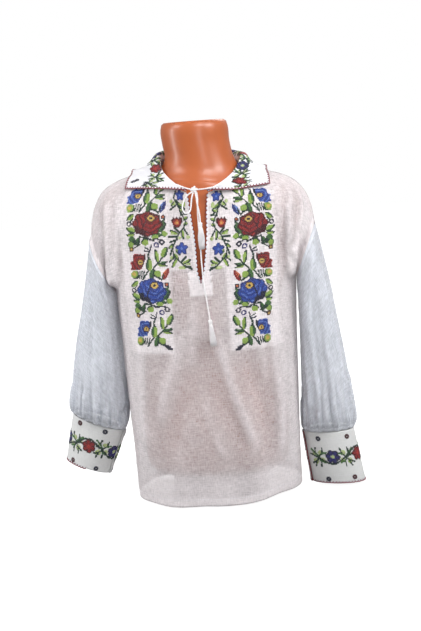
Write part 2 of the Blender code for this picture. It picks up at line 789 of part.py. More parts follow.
def make_slit_facing(front, material):
    """The doubled patch behind the slit's end, made from the front's own surface and its slit's edges."""
    surface = tree_of_grids([front])
    middle = front.shape[1] // 2
    slit = slice(len(LOWER_ROW_HEIGHTS) - 1, None)
    slit_z = front[slit, middle, 2]
    foot = slit_z[0]
    levels = [FACING_FOOT_Z, *np.linspace(foot, FACING_TOP_Z, FACING_ROWS - 1)]
    grid = np.zeros((FACING_ROWS, 6, 3))
    normals = np.zeros_like(grid)
    for row, z in enumerate(levels):
        right, left = (
            np.interp(z, slit_z, front[slit, column, 0]) + side * FACING_SETBACK
            for column, side in ((middle - 1, -1), (middle, 1))
        )
        centre = (left + right) / 2
        first, last = centre - FACING_HALF_WIDTH, centre + FACING_HALF_WIDTH
        places = (first, (first + right) / 2, right, left, (left + last) / 2, last)
        for column, x in enumerate(places):
            place, normal, _, _ = surface.ray_cast(Vector((x, -300, z)), Vector((0, 1, 0)))
            normals[row, column] = -normal if normal.y > 0 else normal
            grid[row, column] = np.array(place) - normals[row, column] * (CLOTH_WALL + SEAM_GAP)
    slit_faces = {(row, 2) for row in range(1, FACING_ROWS - 1)}
    wall_object("slit_facing", grid, normals, FACING_WALL, material, left_out=slit_faces)


def make_back(tree, material):
    """The back, in one piece from side seam to side seam."""
    shares = np.linspace(0, 1, BACK_COLUMNS + 1)
    half = half_panel(1, shares, BACK_NECK_COLUMNS, NECK_BACK, 0.0, 0.0)
    half = draped(half, tree)
    whole = np.hstack([half[:, ::-1], mirrored(half)[:, ::-1][:, 1:]])
    grid, normals = finished_panel(whole, BACK_FOLDS, tree, 1)
    wall_object("shirt_back", grid, normals, CLOTH_WALL, material)
    return grid


# ---------------------------------------------------------------------------------------------------
# Sleeves and cuffs
# ---------------------------------------------------------------------------------------------------
def ring_around(outer_x, outer_z, inner_x, inner_z, depth, turns):
    """A ring between its outer and inner edge, starting at the outer edge and passing the front first."""
    outer, inner = np.array([outer_x, outer_z]), np.array([inner_x, inner_z])
    centre, half = (outer + inner) / 2, (outer - inner) / 2
    x = centre[0] + half[0] * np.cos(turns)
    z = centre[1] + half[1] * np.cos(turns)
    y = -depth * np.sin(turns)
    return np.stack([x, y, z], axis=-1)


def sleeve_grid(rings, folds):
    """A sleeve on the wearer's left, from the armhole down, with its pleats and long folds."""
    table = np.array(rings, float)
    along = 1 - (1 - np.linspace(0, 1, SLEEVE_RINGS)) ** 1.25
    sizes = smooth_through(table[:, 0], table[:, 1:], along)
    turns = np.linspace(0, 2 * math.pi, SLEEVE_AROUND, endpoint=False)
    grid = np.array([ring_around(*row[:5], turns) for row in sizes])
    normals = grid_normals(grid, closed=True)
    degrees = np.degrees(turns)
    narrowing = SLEEVE_FLAT_AT_CUFF - SLEEVE_FLAT_AT_TOP
    flat_side = SLEEVE_FLAT_AT_TOP + narrowing * fade(along - 0.05, 0.3)
    clear_of_body = fade(np.abs(degrees[None] - 180) / flat_side[:, None], 1.0)
    lift = np.zeros(grid.shape[:2])
    for row, share in enumerate(along):
        sway = PLEAT_SWAY * np.sin(2 * turns + 4 * share)
        lift[row] = sizes[row, 5] * np.cos(PLEATS * turns + sway)
        for fold in folds:
            middle = fold.angle + fold.drift * share
            away = (degrees - middle + 180) % 360 - 180
            ends = fade(share - fold.start, 0.12) * fade(fold.end - share, 0.2)
            lift[row] += fold.rise * bump(away, fold.half_width) * ends
    keep = np.where(sizes[:, 5:6] > 0, 1.0, 0.0)
    lift = lift * clear_of_body * np.maximum(keep, fade(along - 0.02, 0.1)[:, None])
    return grid + lift[:, :, None] * normals


def to_side(grid, side):
    """A grid made on the wearer's left, turned over to the wearer's right where side is -1."""
    placed = grid.copy()
    placed[..., 0] *= side
    return placed


def in_plane(ring):
    """Unit vectors from the middle of a flat ring out through its points, square to its run."""
    run = np.roll(ring, -1, axis=0) - np.roll(ring, 1, axis=0)
    plane = np.cross(ring[0] - ring.mean(axis=0), ring[len(ring) // 4] - ring.mean(axis=0))
    outwards = np.cross(run, plane)
    outwards *= np.sign((outwards * (ring - ring.mean(axis=0))).sum(axis=1, keepdims=True))
    return unit(outwards)


def make_sleeve(name, side, rings, folds, material):
    """One gathered sleeve."""
    grid = sleeve_grid(rings, folds)
    normals = grid_normals(grid, closed=True)
    turns = np.linspace(0, 2 * math.pi, SLEEVE_AROUND, endpoint=False)
    share = ((1 + np.cos(turns)) / 2)[:, None]
    normals[0] = unit(in_plane(grid[0]) * share + normals[0] * (1 - share))
    normals[-1] = in_plane(grid[-1])
    return wall_object(
        name, to_side(grid, side), to_side(normals, side), CLOTH_WALL, material, closed=True
    )


def cuff_grid(top, foot):
    """A cuff on the wearer's left: a band from its open edge round to the end that laps over it."""
    travelled = np.linspace(0, 2 * math.pi + math.radians(CUFF_OVERLAP_ANGLE), CUFF_AROUND)
    turns = math.radians(CUFF_OPENING_ANGLE) - travelled
    lifted = CUFF_LIFT * fade(travelled - 2 * math.pi + 0.5, 0.5)
    rows = []
    for share in np.linspace(0, 1, CUFF_ROWS):
        ends = np.array(top) * (1 - share) + np.array(foot) * share
        belly = 1.0 + CUFF_BELLY * math.sin(math.pi * share)
        rows.append(ring_around(*ends[:4], ends[4] * belly, turns))
    grid = np.array(rows)
    normals = -grid_normals(grid)
    return grid + lifted[None, :, None] * normals, normals


def make_cuff(name, side, top, foot, material):
    """One cuff, with its ends lapped and not joined."""
    grid, normals = cuff_grid(top, foot)
    return wall_object(name, to_side(grid, side), to_side(normals, side), DOUBLED_WALL, material)


# ---------------------------------------------------------------------------------------------------
# Collar
# ---------------------------------------------------------------------------------------------------
def neck_edge(front_grid, back_grid):
    """The panels' neck edge on the wearer's left, from the top of the slit round to the back."""
    middle = front_grid.shape[1] // 2
    fore = front_grid[-1, middle : middle + NECK_COLUMNS + 1]
    centre = back_grid.shape[1] // 2
    aft = back_grid[-1, centre - BACK_NECK_COLUMNS : centre + 1]
    return np.vstack([fore, aft[1:]])


def collar_grid(form_tree, front_grid, back_grid):
    """The collar from its right front end round the neck to its left one: stand, fold and fall."""
    along = np.linspace(0, 1, COLLAR_ALONG // 2 + 1)
    knots = [station.along for station in COLLAR_STATIONS]
    neck = along_line(rounded_curve(neck_edge(front_grid, back_grid)), along)
    neck[:, 2] += COLLAR_SEAM_GAP
    neck[-1, 0] = 0.0
    lines = [
        smooth_through(knots, [getattr(station, part) for station in COLLAR_STATIONS], along)
        for part in ("fold", "middle", "edge")
    ]
    across = np.array([neck, *lines])
    half = smooth_through(COLLAR_LINES, across.reshape(len(COLLAR_LINES), -1), COLLAR_ROWS)
    half = half.reshape(len(COLLAR_ROWS), -1, 3)
    other = half[:, ::-1].copy()
    other[:, :, 0] *= -1
    grid = np.concatenate([half, other[:, 1:]], axis=1)
    grid = cleared(grid, form_tree, COLLAR_CLEARANCE)
    panels = tree_of_grids([front_grid, back_grid])
    grid[2:] = cleared(grid[2:], panels, DOUBLED_WALL + COLLAR_LIFT)
    return grid


def make_collar(form_tree, front_grid, back_grid, material):
    """The turned-down collar, a doubled wall that lies open over the shoulders."""
    grid = collar_grid(form_tree, front_grid, back_grid)
    return wall_object("collar", grid, grid_normals(grid), DOUBLED_WALL, material)


# ---------------------------------------------------------------------------------------------------
# Drawstring and tassels
# ---------------------------------------------------------------------------------------------------
def make_cord(name, route, material):
    """A round cord along the smooth curve through its route, with capped ends."""
    length = np.linalg.norm(np.diff(np.array(route, float), axis=0), axis=1).sum()
    points = rounded_curve(route, max(CORD_LEAST_POINTS, round(length / CORD_STEP)))
    curve = bpy.data.curves.new(name, "CURVE")
    curve.dimensions = "3D"
    curve.bevel_depth = CORD_DIAMETER / 2 * METRES
    curve.bevel_resolution = 2
    curve.use_fill_caps = True
    spline = curve.splines.new("POLY")
    spline.points.add(len(points) - 1)
    for target, point in zip(spline.points, points):
        target.co = (*(point * METRES), 1.0)
    curve.materials.append(material)
    thing = bpy.data.objects.new(name, curve)
    bpy.context.scene.collection.objects.link(thing)
    return thing


def ellipsoid_rings(centre, radii, count=12, levels=7):
    """Rings of an upright ellipsoid, a little short of both poles."""
    turns = np.linspace(0, 2 * math.pi, count, endpoint=False)
    rings = []
    for tilt in np.linspace(-1.35, 1.35, levels):
        wide = math.cos(tilt)
        rings.append(
            np.stack(
                [
                    centre[0] + radii[0] * wide * np.cos(turns),
                    centre[1] + radii[1] * wide * np.sin(turns),
                    np.full(count, centre[2] + radii[2] * math.sin(tilt)),
                ],
                axis=1,
            )
        )
    return rings


def make_knot(material):
    """The knot at the throat, a small rounded lump."""
    return loft_object("drawstring_knot", ellipsoid_rings(KNOT_CENTRE, KNOT_RADII), material)


def make_tassel(name, top, lean, material):
    """A tassel below a cord's end: a round head, and strands that stand apart below it."""
    centre = np.array(top) + (0, 0, -TASSEL_HEAD_HEIGHT / 2 - SEAM_GAP)
    radii = (TASSEL_HEAD_RADIUS, TASSEL_HEAD_RADIUS, TASSEL_HEAD_HEIGHT / 2)
    head = loft_object(name, ellipsoid_rings(centre, radii), material)
    strands = []
    for ring in TASSEL_RINGS:
        for number in range(ring.count):
            turn = 2 * math.pi * number / ring.count + ring.phase
            heading = np.array([math.cos(turn), math.sin(turn), 0.0])
            start = centre + heading * ring.root + (0, 0, -TASSEL_ROOT_DROP)
            end = np.array(top) + heading * ring.tip + (lean, 0, -TASSEL_LENGTH)
            strands.append(prism_between(start, end, TASSEL_STRAND_RADIUS, turn))
    for number, (points, faces) in enumerate(strands):
        strand = mesh_object(f"{name}_strand_{number}", points, faces, material)
        strand.hide_render = True
        strand.display_type = "WIRE"
        joint = head.modifiers.new(f"strand_{number}", "BOOLEAN")
        joint.operation = "UNION"
        joint.object = strand
    return head


def prism_between(start, end, radius, turn):
    """A three-sided strand from start to end, as points and faces."""
    corners = [turn + 2 * math.pi * k / 3 for k in range(3)]
    bow = TASSEL_STRAND_BOW * np.array([math.cos(turn), math.sin(turn), 0])
    middle = (start + end) / 2 + bow
    points = [
        place + radius * size * np.array([math.cos(corner), math.sin(corner), 0])
        for place, size in ((start, 0.8), (middle, 1.0), (end, 0.9))
        for corner in corners
    ]
    faces = [(0, 1, 2), (8, 7, 6)]
    for row in range(2):
        for side in range(3):
            after = (side + 1) % 3
            faces.append((row * 3 + side, row * 3 + after, row * 3 + 3 + after, row * 3 + 3 + side))
    return points, faces


# ---------------------------------------------------------------------------------------------------
# Assembly
# ---------------------------------------------------------------------------------------------------
def askew(points, on_form):
    """Points in mm, hung over to the wearer's left and lower on that side. The form's neck stays straight."""
    x, z = points[:, 0], points[:, 2]
    share = fade(ASKEW_NECK_Z - z, ASKEW_FADE) if on_form else np.ones_like(z)
    near = fade(1.3 - np.abs(x) / ASKEW_REACH, 1.0) * fade(z - ASKEW_FOOT_Z, ASKEW_RISE)
    drop = np.interp(x, DROP_PLACES, DROPS) * fade(z - DROP_FOOT_Z, ASKEW_FADE)
    moved = points.copy()
    moved[:, 0] += ASKEW_SHIFT * near * share
    moved[:, 2] -= drop * share
    return moved


def hang_askew(thing):
    """Hangs one finished object askew with the rest of the shirt."""
    if thing.type == "CURVE":
        for point in thing.data.splines[0].points:
            place = askew(np.array([point.co[:3]]) / METRES, False)[0]
            point.co = (*(place * METRES), 1.0)
        return
    points = np.zeros(3 * len(thing.data.vertices))
    thing.data.vertices.foreach_get("co", points)
    moved = askew(points.reshape(-1, 3) / METRES, thing.name.startswith("form"))
    thing.data.vertices.foreach_set("co", (moved * METRES).ravel())
    thing.data.update()


def main():
    """Clears the scene and makes every piece in place."""
    for thing in list(bpy.data.objects):
        bpy.data.objects.remove(thing)

    voile = plain_material("sheer_cotton", (0.80, 0.78, 0.79), 0.85)
    doubled = plain_material("doubled_cotton", (0.86, 0.86, 0.88), 0.8)
    cord = plain_material("cotton_cord", (0.88, 0.86, 0.87), 0.8)
    shell = plain_material("form_shell", (0.62, 0.25, 0.11), 0.3)
    plain = plain_material("foot_plastic", (0.7, 0.7, 0.72), 0.5)

    form = make_form(shell)
    make_foot(plain)
    form_tree = tree_of(form)
    front = make_front(form_tree, voile)
    back = make_back(form_tree, voile)
    make_slit_facing(front, doubled)
    make_sleeve("sleeve_left", 1, LEFT_SLEEVE, LEFT_SLEEVE_FOLDS, voile)
    make_sleeve("sleeve_right", -1, RIGHT_SLEEVE, RIGHT_SLEEVE_FOLDS, voile)
    make_cuff("cuff_left", 1, LEFT_CUFF_TOP, LEFT_CUFF_FOOT, doubled)
    make_cuff("cuff_right", -1, RIGHT_CUFF_TOP, RIGHT_CUFF_FOOT, doubled)
    make_collar(form_tree, front, back, doubled)
    make_knot(cord)
    make_cord("drawstring_left", CORD_LEFT_END, cord)
    make_cord("drawstring_right", CORD_RIGHT_END, cord)
    make_cord("drawstring_loop", CORD_LOOP, cord)
    make_cord("drawstring_short_tail", CORD_SHORT_TAIL, cord)
    make_cord("drawstring_long_tail", CORD_LONG_TAIL, cord)
    make_tassel("tassel_short", CORD_SHORT_TAIL[-1], 1.0, cord)
    make_tassel("tassel_long", CORD_LONG_TAIL[-1], 4.0, cord)
    for thing in bpy.data.objects:
        hang_askew(thing)


main()
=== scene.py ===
"""The looks of a child's embroidered cotton shirt, worn by a smooth torso form.

Every cloth piece is made from its own solid's outer face: the face is read as a grid of points, drawn out
fine, given its small creases and turned into a thin closed shell. The cross-stitch is charted by code,
motif by motif, and each stitch is two crossing arms of floss laid on the cloth. Lengths inside the classes
are millimetres; meshes are written in metres.
"""

from __future__ import annotations

import copy
import json
import logging
import math
from collections.abc import Callable, Iterable, Sequence
from dataclasses import dataclass, field
from enum import Enum
from functools import partial

import bpy
import numpy as np
from mathutils import Matrix, Vector, noise
from mathutils.bvhtree import BVHTree
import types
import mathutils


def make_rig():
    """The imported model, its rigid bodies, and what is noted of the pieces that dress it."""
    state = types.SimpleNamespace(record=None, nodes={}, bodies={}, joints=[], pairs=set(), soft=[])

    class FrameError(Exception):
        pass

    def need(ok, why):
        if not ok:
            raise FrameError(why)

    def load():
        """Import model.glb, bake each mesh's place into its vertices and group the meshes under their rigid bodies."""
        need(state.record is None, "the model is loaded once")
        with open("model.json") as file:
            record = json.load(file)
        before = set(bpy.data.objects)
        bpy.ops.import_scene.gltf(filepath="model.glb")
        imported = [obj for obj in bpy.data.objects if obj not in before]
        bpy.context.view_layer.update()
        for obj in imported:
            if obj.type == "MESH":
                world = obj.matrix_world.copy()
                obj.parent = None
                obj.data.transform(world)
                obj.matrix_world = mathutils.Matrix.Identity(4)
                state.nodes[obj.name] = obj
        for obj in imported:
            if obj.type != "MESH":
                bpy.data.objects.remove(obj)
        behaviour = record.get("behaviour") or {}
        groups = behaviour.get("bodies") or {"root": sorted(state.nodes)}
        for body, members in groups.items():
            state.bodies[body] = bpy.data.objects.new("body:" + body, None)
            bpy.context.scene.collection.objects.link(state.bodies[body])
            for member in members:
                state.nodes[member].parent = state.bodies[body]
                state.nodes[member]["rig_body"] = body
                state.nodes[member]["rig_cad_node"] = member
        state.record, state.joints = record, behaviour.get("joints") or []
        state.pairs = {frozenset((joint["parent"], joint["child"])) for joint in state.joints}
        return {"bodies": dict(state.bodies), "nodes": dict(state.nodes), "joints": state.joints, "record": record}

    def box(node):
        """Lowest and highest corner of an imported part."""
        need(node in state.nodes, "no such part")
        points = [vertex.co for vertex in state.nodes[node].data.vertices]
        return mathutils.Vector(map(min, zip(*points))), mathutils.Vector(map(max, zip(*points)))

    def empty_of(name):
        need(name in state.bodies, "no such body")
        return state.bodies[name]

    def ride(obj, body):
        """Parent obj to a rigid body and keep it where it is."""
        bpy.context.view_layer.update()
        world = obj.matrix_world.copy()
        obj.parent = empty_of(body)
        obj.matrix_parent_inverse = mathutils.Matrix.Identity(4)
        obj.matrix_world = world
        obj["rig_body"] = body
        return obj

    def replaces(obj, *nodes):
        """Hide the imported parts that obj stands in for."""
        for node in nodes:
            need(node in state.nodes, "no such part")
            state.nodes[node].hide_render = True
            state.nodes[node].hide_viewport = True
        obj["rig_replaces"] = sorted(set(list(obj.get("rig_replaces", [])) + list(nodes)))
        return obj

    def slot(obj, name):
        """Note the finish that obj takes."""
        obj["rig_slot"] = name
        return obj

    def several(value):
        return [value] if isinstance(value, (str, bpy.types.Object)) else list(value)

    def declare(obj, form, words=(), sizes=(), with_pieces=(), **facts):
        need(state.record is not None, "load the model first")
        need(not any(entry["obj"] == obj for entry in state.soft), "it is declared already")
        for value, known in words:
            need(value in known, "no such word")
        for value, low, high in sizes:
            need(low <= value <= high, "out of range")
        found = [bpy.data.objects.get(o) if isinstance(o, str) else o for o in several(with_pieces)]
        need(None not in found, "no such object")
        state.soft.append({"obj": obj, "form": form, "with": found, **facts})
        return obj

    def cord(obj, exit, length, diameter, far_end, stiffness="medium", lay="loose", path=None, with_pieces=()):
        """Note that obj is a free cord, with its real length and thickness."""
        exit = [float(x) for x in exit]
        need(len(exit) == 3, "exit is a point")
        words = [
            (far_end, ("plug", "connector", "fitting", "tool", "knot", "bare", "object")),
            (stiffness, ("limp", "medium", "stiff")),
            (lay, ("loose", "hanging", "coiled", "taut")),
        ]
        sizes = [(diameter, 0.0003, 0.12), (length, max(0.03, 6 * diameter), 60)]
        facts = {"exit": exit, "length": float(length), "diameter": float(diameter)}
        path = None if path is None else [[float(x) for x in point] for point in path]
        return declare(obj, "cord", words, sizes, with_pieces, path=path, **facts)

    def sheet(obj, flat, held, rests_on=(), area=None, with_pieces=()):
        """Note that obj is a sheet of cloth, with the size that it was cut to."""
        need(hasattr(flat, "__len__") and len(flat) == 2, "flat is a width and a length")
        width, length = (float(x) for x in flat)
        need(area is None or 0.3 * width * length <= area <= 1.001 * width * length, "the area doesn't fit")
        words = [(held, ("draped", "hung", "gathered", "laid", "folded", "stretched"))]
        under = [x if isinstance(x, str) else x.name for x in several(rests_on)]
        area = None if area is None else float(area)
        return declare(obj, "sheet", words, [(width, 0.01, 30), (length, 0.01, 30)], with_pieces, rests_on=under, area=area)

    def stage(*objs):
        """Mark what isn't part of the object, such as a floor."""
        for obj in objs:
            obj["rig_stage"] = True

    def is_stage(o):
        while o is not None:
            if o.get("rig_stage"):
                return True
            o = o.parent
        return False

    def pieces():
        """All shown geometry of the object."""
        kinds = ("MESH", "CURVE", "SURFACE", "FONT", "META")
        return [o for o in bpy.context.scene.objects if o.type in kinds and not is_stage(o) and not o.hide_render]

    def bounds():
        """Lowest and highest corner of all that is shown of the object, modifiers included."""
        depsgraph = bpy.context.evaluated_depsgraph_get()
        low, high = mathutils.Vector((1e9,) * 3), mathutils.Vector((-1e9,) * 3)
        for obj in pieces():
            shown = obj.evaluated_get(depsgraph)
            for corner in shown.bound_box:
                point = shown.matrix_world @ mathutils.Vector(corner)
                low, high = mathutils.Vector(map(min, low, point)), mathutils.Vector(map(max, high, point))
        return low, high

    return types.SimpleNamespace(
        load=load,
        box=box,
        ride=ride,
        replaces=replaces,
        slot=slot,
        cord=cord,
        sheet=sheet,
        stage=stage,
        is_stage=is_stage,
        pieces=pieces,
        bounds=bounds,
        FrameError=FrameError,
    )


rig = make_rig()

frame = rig.load()
CAD_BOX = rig.bounds()

log = logging.getLogger("shirt")

METRES = 0.001
SIZE_FILE = "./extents.json"
CLOTH_MAP = "cloth"
# The cloth's cover mask: doubled cloth, and also painted light and shade where the cover is raised or lowered.
COVER_AND_PAINTED_LIGHT_MASK = "doubled"
SHEER = "sheer_cotton"
FIRM = "doubled_cotton"
GOLDEN_TURN = 2.39996
SLIT_FOOT = 364
# The single cloth's cover, and how far the cover rises per millimetre of crease lift: painted light on the ridges and
# painted shade in the troughs.
COVER_AND_CREASE_SHADE = (0.34, 0.075)
OPENING_EDGE = (141, 42)
WHITE = (1.0, 1.0, 1.0, 1.0)
RGB = tuple[float, float, float]
Grid = np.ndarray
Place = Sequence[float]
Piece = bpy.types.Object
Material = bpy.types.Material
Socket = bpy.types.NodeSocket


# ---------------------------------------------------------------------------------------------------
# Finishes
# ---------------------------------------------------------------------------------------------------
def linear(red: int, green: int, blue: int) -> RGB:
    """A colour in linear light from its 0-255 values.

    Args:
        red: the colour's red, as a shade card gives it.
        green: its green.
        blue: its blue.

    Returns:
        The three linear values.
    """
    return tuple(
        part / 12.92 if part <= 0.04045 else ((part + 0.055) / 1.055) ** 2.4
        for part in (red / 255, green / 255, blue / 255)
    )


class Floss(Enum):
    """The shades of stranded cotton, each with its slot number in the embroidery."""

    NAVY = (0, linear(18, 20, 52))
    BLUE_DEEP = (1, linear(28, 48, 128))
    BLUE = (2, linear(44, 82, 182))
    BLUE_PALE = (3, linear(112, 146, 214))
    WINE = (4, linear(74, 12, 24))
    RED = (5, linear(150, 24, 28))
    RED_BRIGHT = (6, linear(186, 48, 40))
    ORANGE = (7, linear(222, 118, 66))
    GOLD = (8, linear(226, 192, 98))
    LIME = (9, linear(158, 190, 84))
    LIME_PALE = (10, linear(200, 214, 152))
    GREEN = (11, linear(66, 116, 56))
    GREEN_DEEP = (12, linear(18, 56, 42))
    VIOLET = (13, linear(46, 40, 120))
    MAROON = (14, linear(126, 26, 44))

    @property
    def number(self) -> int:
        """The shade's slot number."""
        return self.value[0]

    @property
    def colour(self) -> RGB:
        """The shade in linear light."""
        return self.value[1]


class NodeSheet:
    """A short way to fill a node tree."""

    def __init__(self, tree: bpy.types.NodeTree) -> None:
        """Keeps the tree that is filled."""
        self.tree = tree

    def plug(self, socket: Socket, value: object) -> None:
        """Links an input to another node's output, or gives it a value.

        Args:
            socket: the socket that takes it.
            value: the number, colour or other socket that it takes.
        """
        if isinstance(value, Socket):
            self.tree.links.new(value, socket)
        else:
            socket.default_value = value

    def feed(self, node: bpy.types.Node, **inputs: object) -> None:
        """Gives a node its inputs by name, with _ for a space, as sockets or values."""
        for name, value in inputs.items():
            self.plug(node.inputs[name.replace("_", " ")], value)

    def add(self, kind: str, settings: dict[str, object] | None = None, **inputs: object) -> bpy.types.Node:
        """A new node with its settings and inputs.

        Args:
            kind: the node's Blender type.
            settings: attributes set on it.
            **inputs: its inputs, as feed takes them.

        Returns:
            The node.
        """
        node = self.tree.nodes.new(kind)
        for name, value in (settings or {}).items():
            setattr(node, name, value)
        self.feed(node, **inputs)
        return node

    def math(self, operation: str, *values: object, clamp: bool = False) -> Socket:
        """A Math node.

        Args:
            operation: what it works out.
            *values: its inputs, numbers or sockets.
            clamp: whether its result is kept between 0 and 1.

        Returns:
            Its output.
        """
        node = self.add("ShaderNodeMath", {"operation": operation, "use_clamp": clamp})
        for socket, value in zip(node.inputs, values):
            self.plug(socket, value)
        return node.outputs[0]

    def scaled(self, mask: Socket, factor: object, offset: object, clamp: bool = False) -> Socket:
        """A mask times a factor, plus an offset."""
        return self.math("MULTIPLY_ADD", mask, factor, offset, clamp=clamp)

    def blend(self, mask: Socket, first: RGB, second: RGB) -> Socket:
        """A colour between two: the first where the mask is 0, the second where it is 1.

        Args:
            mask: how much of the second shows.
            first: the first colour.
            second: the second colour.

        Returns:
            The blended colour.
        """
        node = self.add("ShaderNodeMix", {"data_type": "RGBA"})
        for number, value in ((0, mask), (6, (*first, 1.0)), (7, (*second, 1.0))):
            self.plug(node.inputs[number], value)
        return node.outputs[2]

    def noise(self, vector: Socket, scale: float, detail: float) -> Socket:
        """A noise mask of some fineness and number of octaves."""
        return self.add("ShaderNodeTexNoise", Vector=vector, Scale=scale, Detail=detail).outputs["Fac"]


class EffectGroups:
    """The shader groups that several finishes share, each built once."""

    def __init__(self) -> None:
        """Builds every group."""
        self.weave = self.make_weave()
        self.slubs = self.make_slubs()
        self.strands = self.make_strands()
        self.handling = self.make_handling()

    @staticmethod
    def blank(name: str, inputs: dict[str, float | None], outputs: Sequence[str]) -> tuple:
        """An empty group with its sockets.

        Args:
            name: the group's name.
            inputs: the default of each input, or nothing where it is a place.
            outputs: the names of its masks.

        Returns:
            The group's node sheet, its inner inputs and its inner output node.
        """
        tree = bpy.data.node_groups.new(name, "ShaderNodeTree")
        for label, value in inputs.items():
            kind = "NodeSocketVector" if value is None else "NodeSocketFloat"
            socket = tree.interface.new_socket(label, in_out="INPUT", socket_type=kind)
            if value is not None:
                socket.default_value = value
        for label in outputs:
            tree.interface.new_socket(label, in_out="OUTPUT", socket_type="NodeSocketFloat")
        sheet = NodeSheet(tree)
        return sheet, sheet.add("NodeGroupInput").outputs, sheet.add("NodeGroupOutput")

    def make_weave(self) -> bpy.types.NodeTree:
        """Plain weave on the cloth's own map: thread height, and the open holes between threads.

        Returns:
            The shader group.
        """
        inputs = {"Map": None, "Threads per metre": 2000.0}
        sheet, given, made = self.blank("plain_weave", inputs, ("Height", "Holes"))
        parts = sheet.add("ShaderNodeSeparateXYZ", Vector=given["Map"]).outputs
        turns = sheet.math("MULTIPLY", given["Threads per metre"], math.pi)
        threads = [sheet.math("SINE", sheet.math("MULTIPLY", parts[axis], turns)) for axis in (0, 1)]
        gaps = [sheet.math("SUBTRACT", 1.0, sheet.math("ABSOLUTE", thread)) for thread in threads]
        height = sheet.scaled(sheet.math("MULTIPLY", *threads), 0.5, 0.5)
        sheet.feed(made, Height=height, Holes=sheet.math("MAXIMUM", *gaps))
        return sheet.tree

    def make_slubs(self) -> bpy.types.NodeTree:
        """Uneven threads both ways and a soft cloudiness, as in washed cotton.

        Returns:
            The shader group.
        """
        outputs = ("Slubs", "Clouds", "Crinkle")
        sheet, given, made = self.blank("slubbed_cotton", {"Map": None, "Object": None}, outputs)
        bands = []
        for stretch in ((90.0, 520.0, 1.0), (560.0, 110.0, 1.0)):
            mapping = sheet.add("ShaderNodeMapping", Vector=given["Map"], Scale=stretch)
            bands.append(sheet.noise(mapping.outputs["Vector"], 1.0, 2.0))
        slubs = sheet.scaled(sheet.math("ADD", *bands), 0.5, 0.0)
        place = given["Object"]
        clouds, crinkle = (sheet.noise(place, *fineness) for fineness in ((26.0, 3.0), (110.0, 4.0)))
        sheet.feed(made, Slubs=slubs, Clouds=clouds, Crinkle=crinkle)
        return sheet.tree

    def make_strands(self) -> bpy.types.NodeTree:
        """The fine lie of spun threads: a height and a patchy shade.

        Returns:
            The shader group.
        """
        inputs = {"Object": None, "Fineness": 1.0}
        sheet, given, made = self.blank("spun_strands", inputs, ("Height", "Shade"))
        settings = {"operation": "SCALE"}
        scaled = sheet.add("ShaderNodeVectorMath", settings, Vector=given["Object"], Scale=given["Fineness"])
        height, shade = (sheet.noise(scaled.outputs[0], fineness, 3.0) for fineness in (2600.0, 320.0))
        sheet.feed(made, Height=height, Shade=shade)
        return sheet.tree

    def make_handling(self) -> bpy.types.NodeTree:
        """Faint smears and fine scratches on a glossy moulding.

        Returns:
            The shader group.
        """
        sheet, given, made = self.blank("handling_marks", {"Object": None}, ("Smears", "Scratches", "Ripple"))
        place = given["Object"]
        stretch, turn = (900.0, 900.0, 30.0), (0.3, 0.5, 0.0)
        mapping = sheet.add("ShaderNodeMapping", Vector=place, Scale=stretch, Rotation=turn)
        scratches = sheet.noise(mapping.outputs["Vector"], 1.0, 2.0)
        smears, ripple = (sheet.noise(place, *fineness) for fineness in ((14.0, 4.0), (7.0, 1.0)))
        sheet.feed(made, Smears=smears, Scratches=scratches, Ripple=ripple)
        return sheet.tree


GROUPS = EffectGroups()


class MaterialSheet(NodeSheet):
    """The node sheet of a new material with its Principled shader."""

    def __init__(self, name: str) -> None:
        """Makes the material."""
        self.material = bpy.data.materials.new(name)
        self.material.use_nodes = True
        super().__init__(self.material.node_tree)
        self.shader = self.tree.nodes["Principled BSDF"]
        self.place = self.add("ShaderNodeTexCoord").outputs["Object"]

    def effect(self, group: bpy.types.NodeTree, **inputs: object) -> bpy.types.bpy_prop_collection:
        """The outputs of a shared group placed in the material, fed as feed does."""
        return self.add("ShaderNodeGroup", {"node_tree": group}, **inputs).outputs

    def finish(self, colour: Socket, height: Socket, bump: tuple[float, float], **inputs: object) -> Material:
        """Gives the shader its colour, its surface and its other inputs.

        Args:
            colour: its colour.
            height: the height of its surface.
            bump: how strongly that height shows, and how deep it is in metres.
            **inputs: the shader's other inputs, as feed takes them.

        Returns:
            The material.
        """
        strength, distance = bump
        normal = self.add("ShaderNodeBump", Strength=strength, Distance=distance, Height=height)
        self.feed(self.shader, Base_Color=colour, Normal=normal.outputs["Normal"], **inputs)
        return self.material


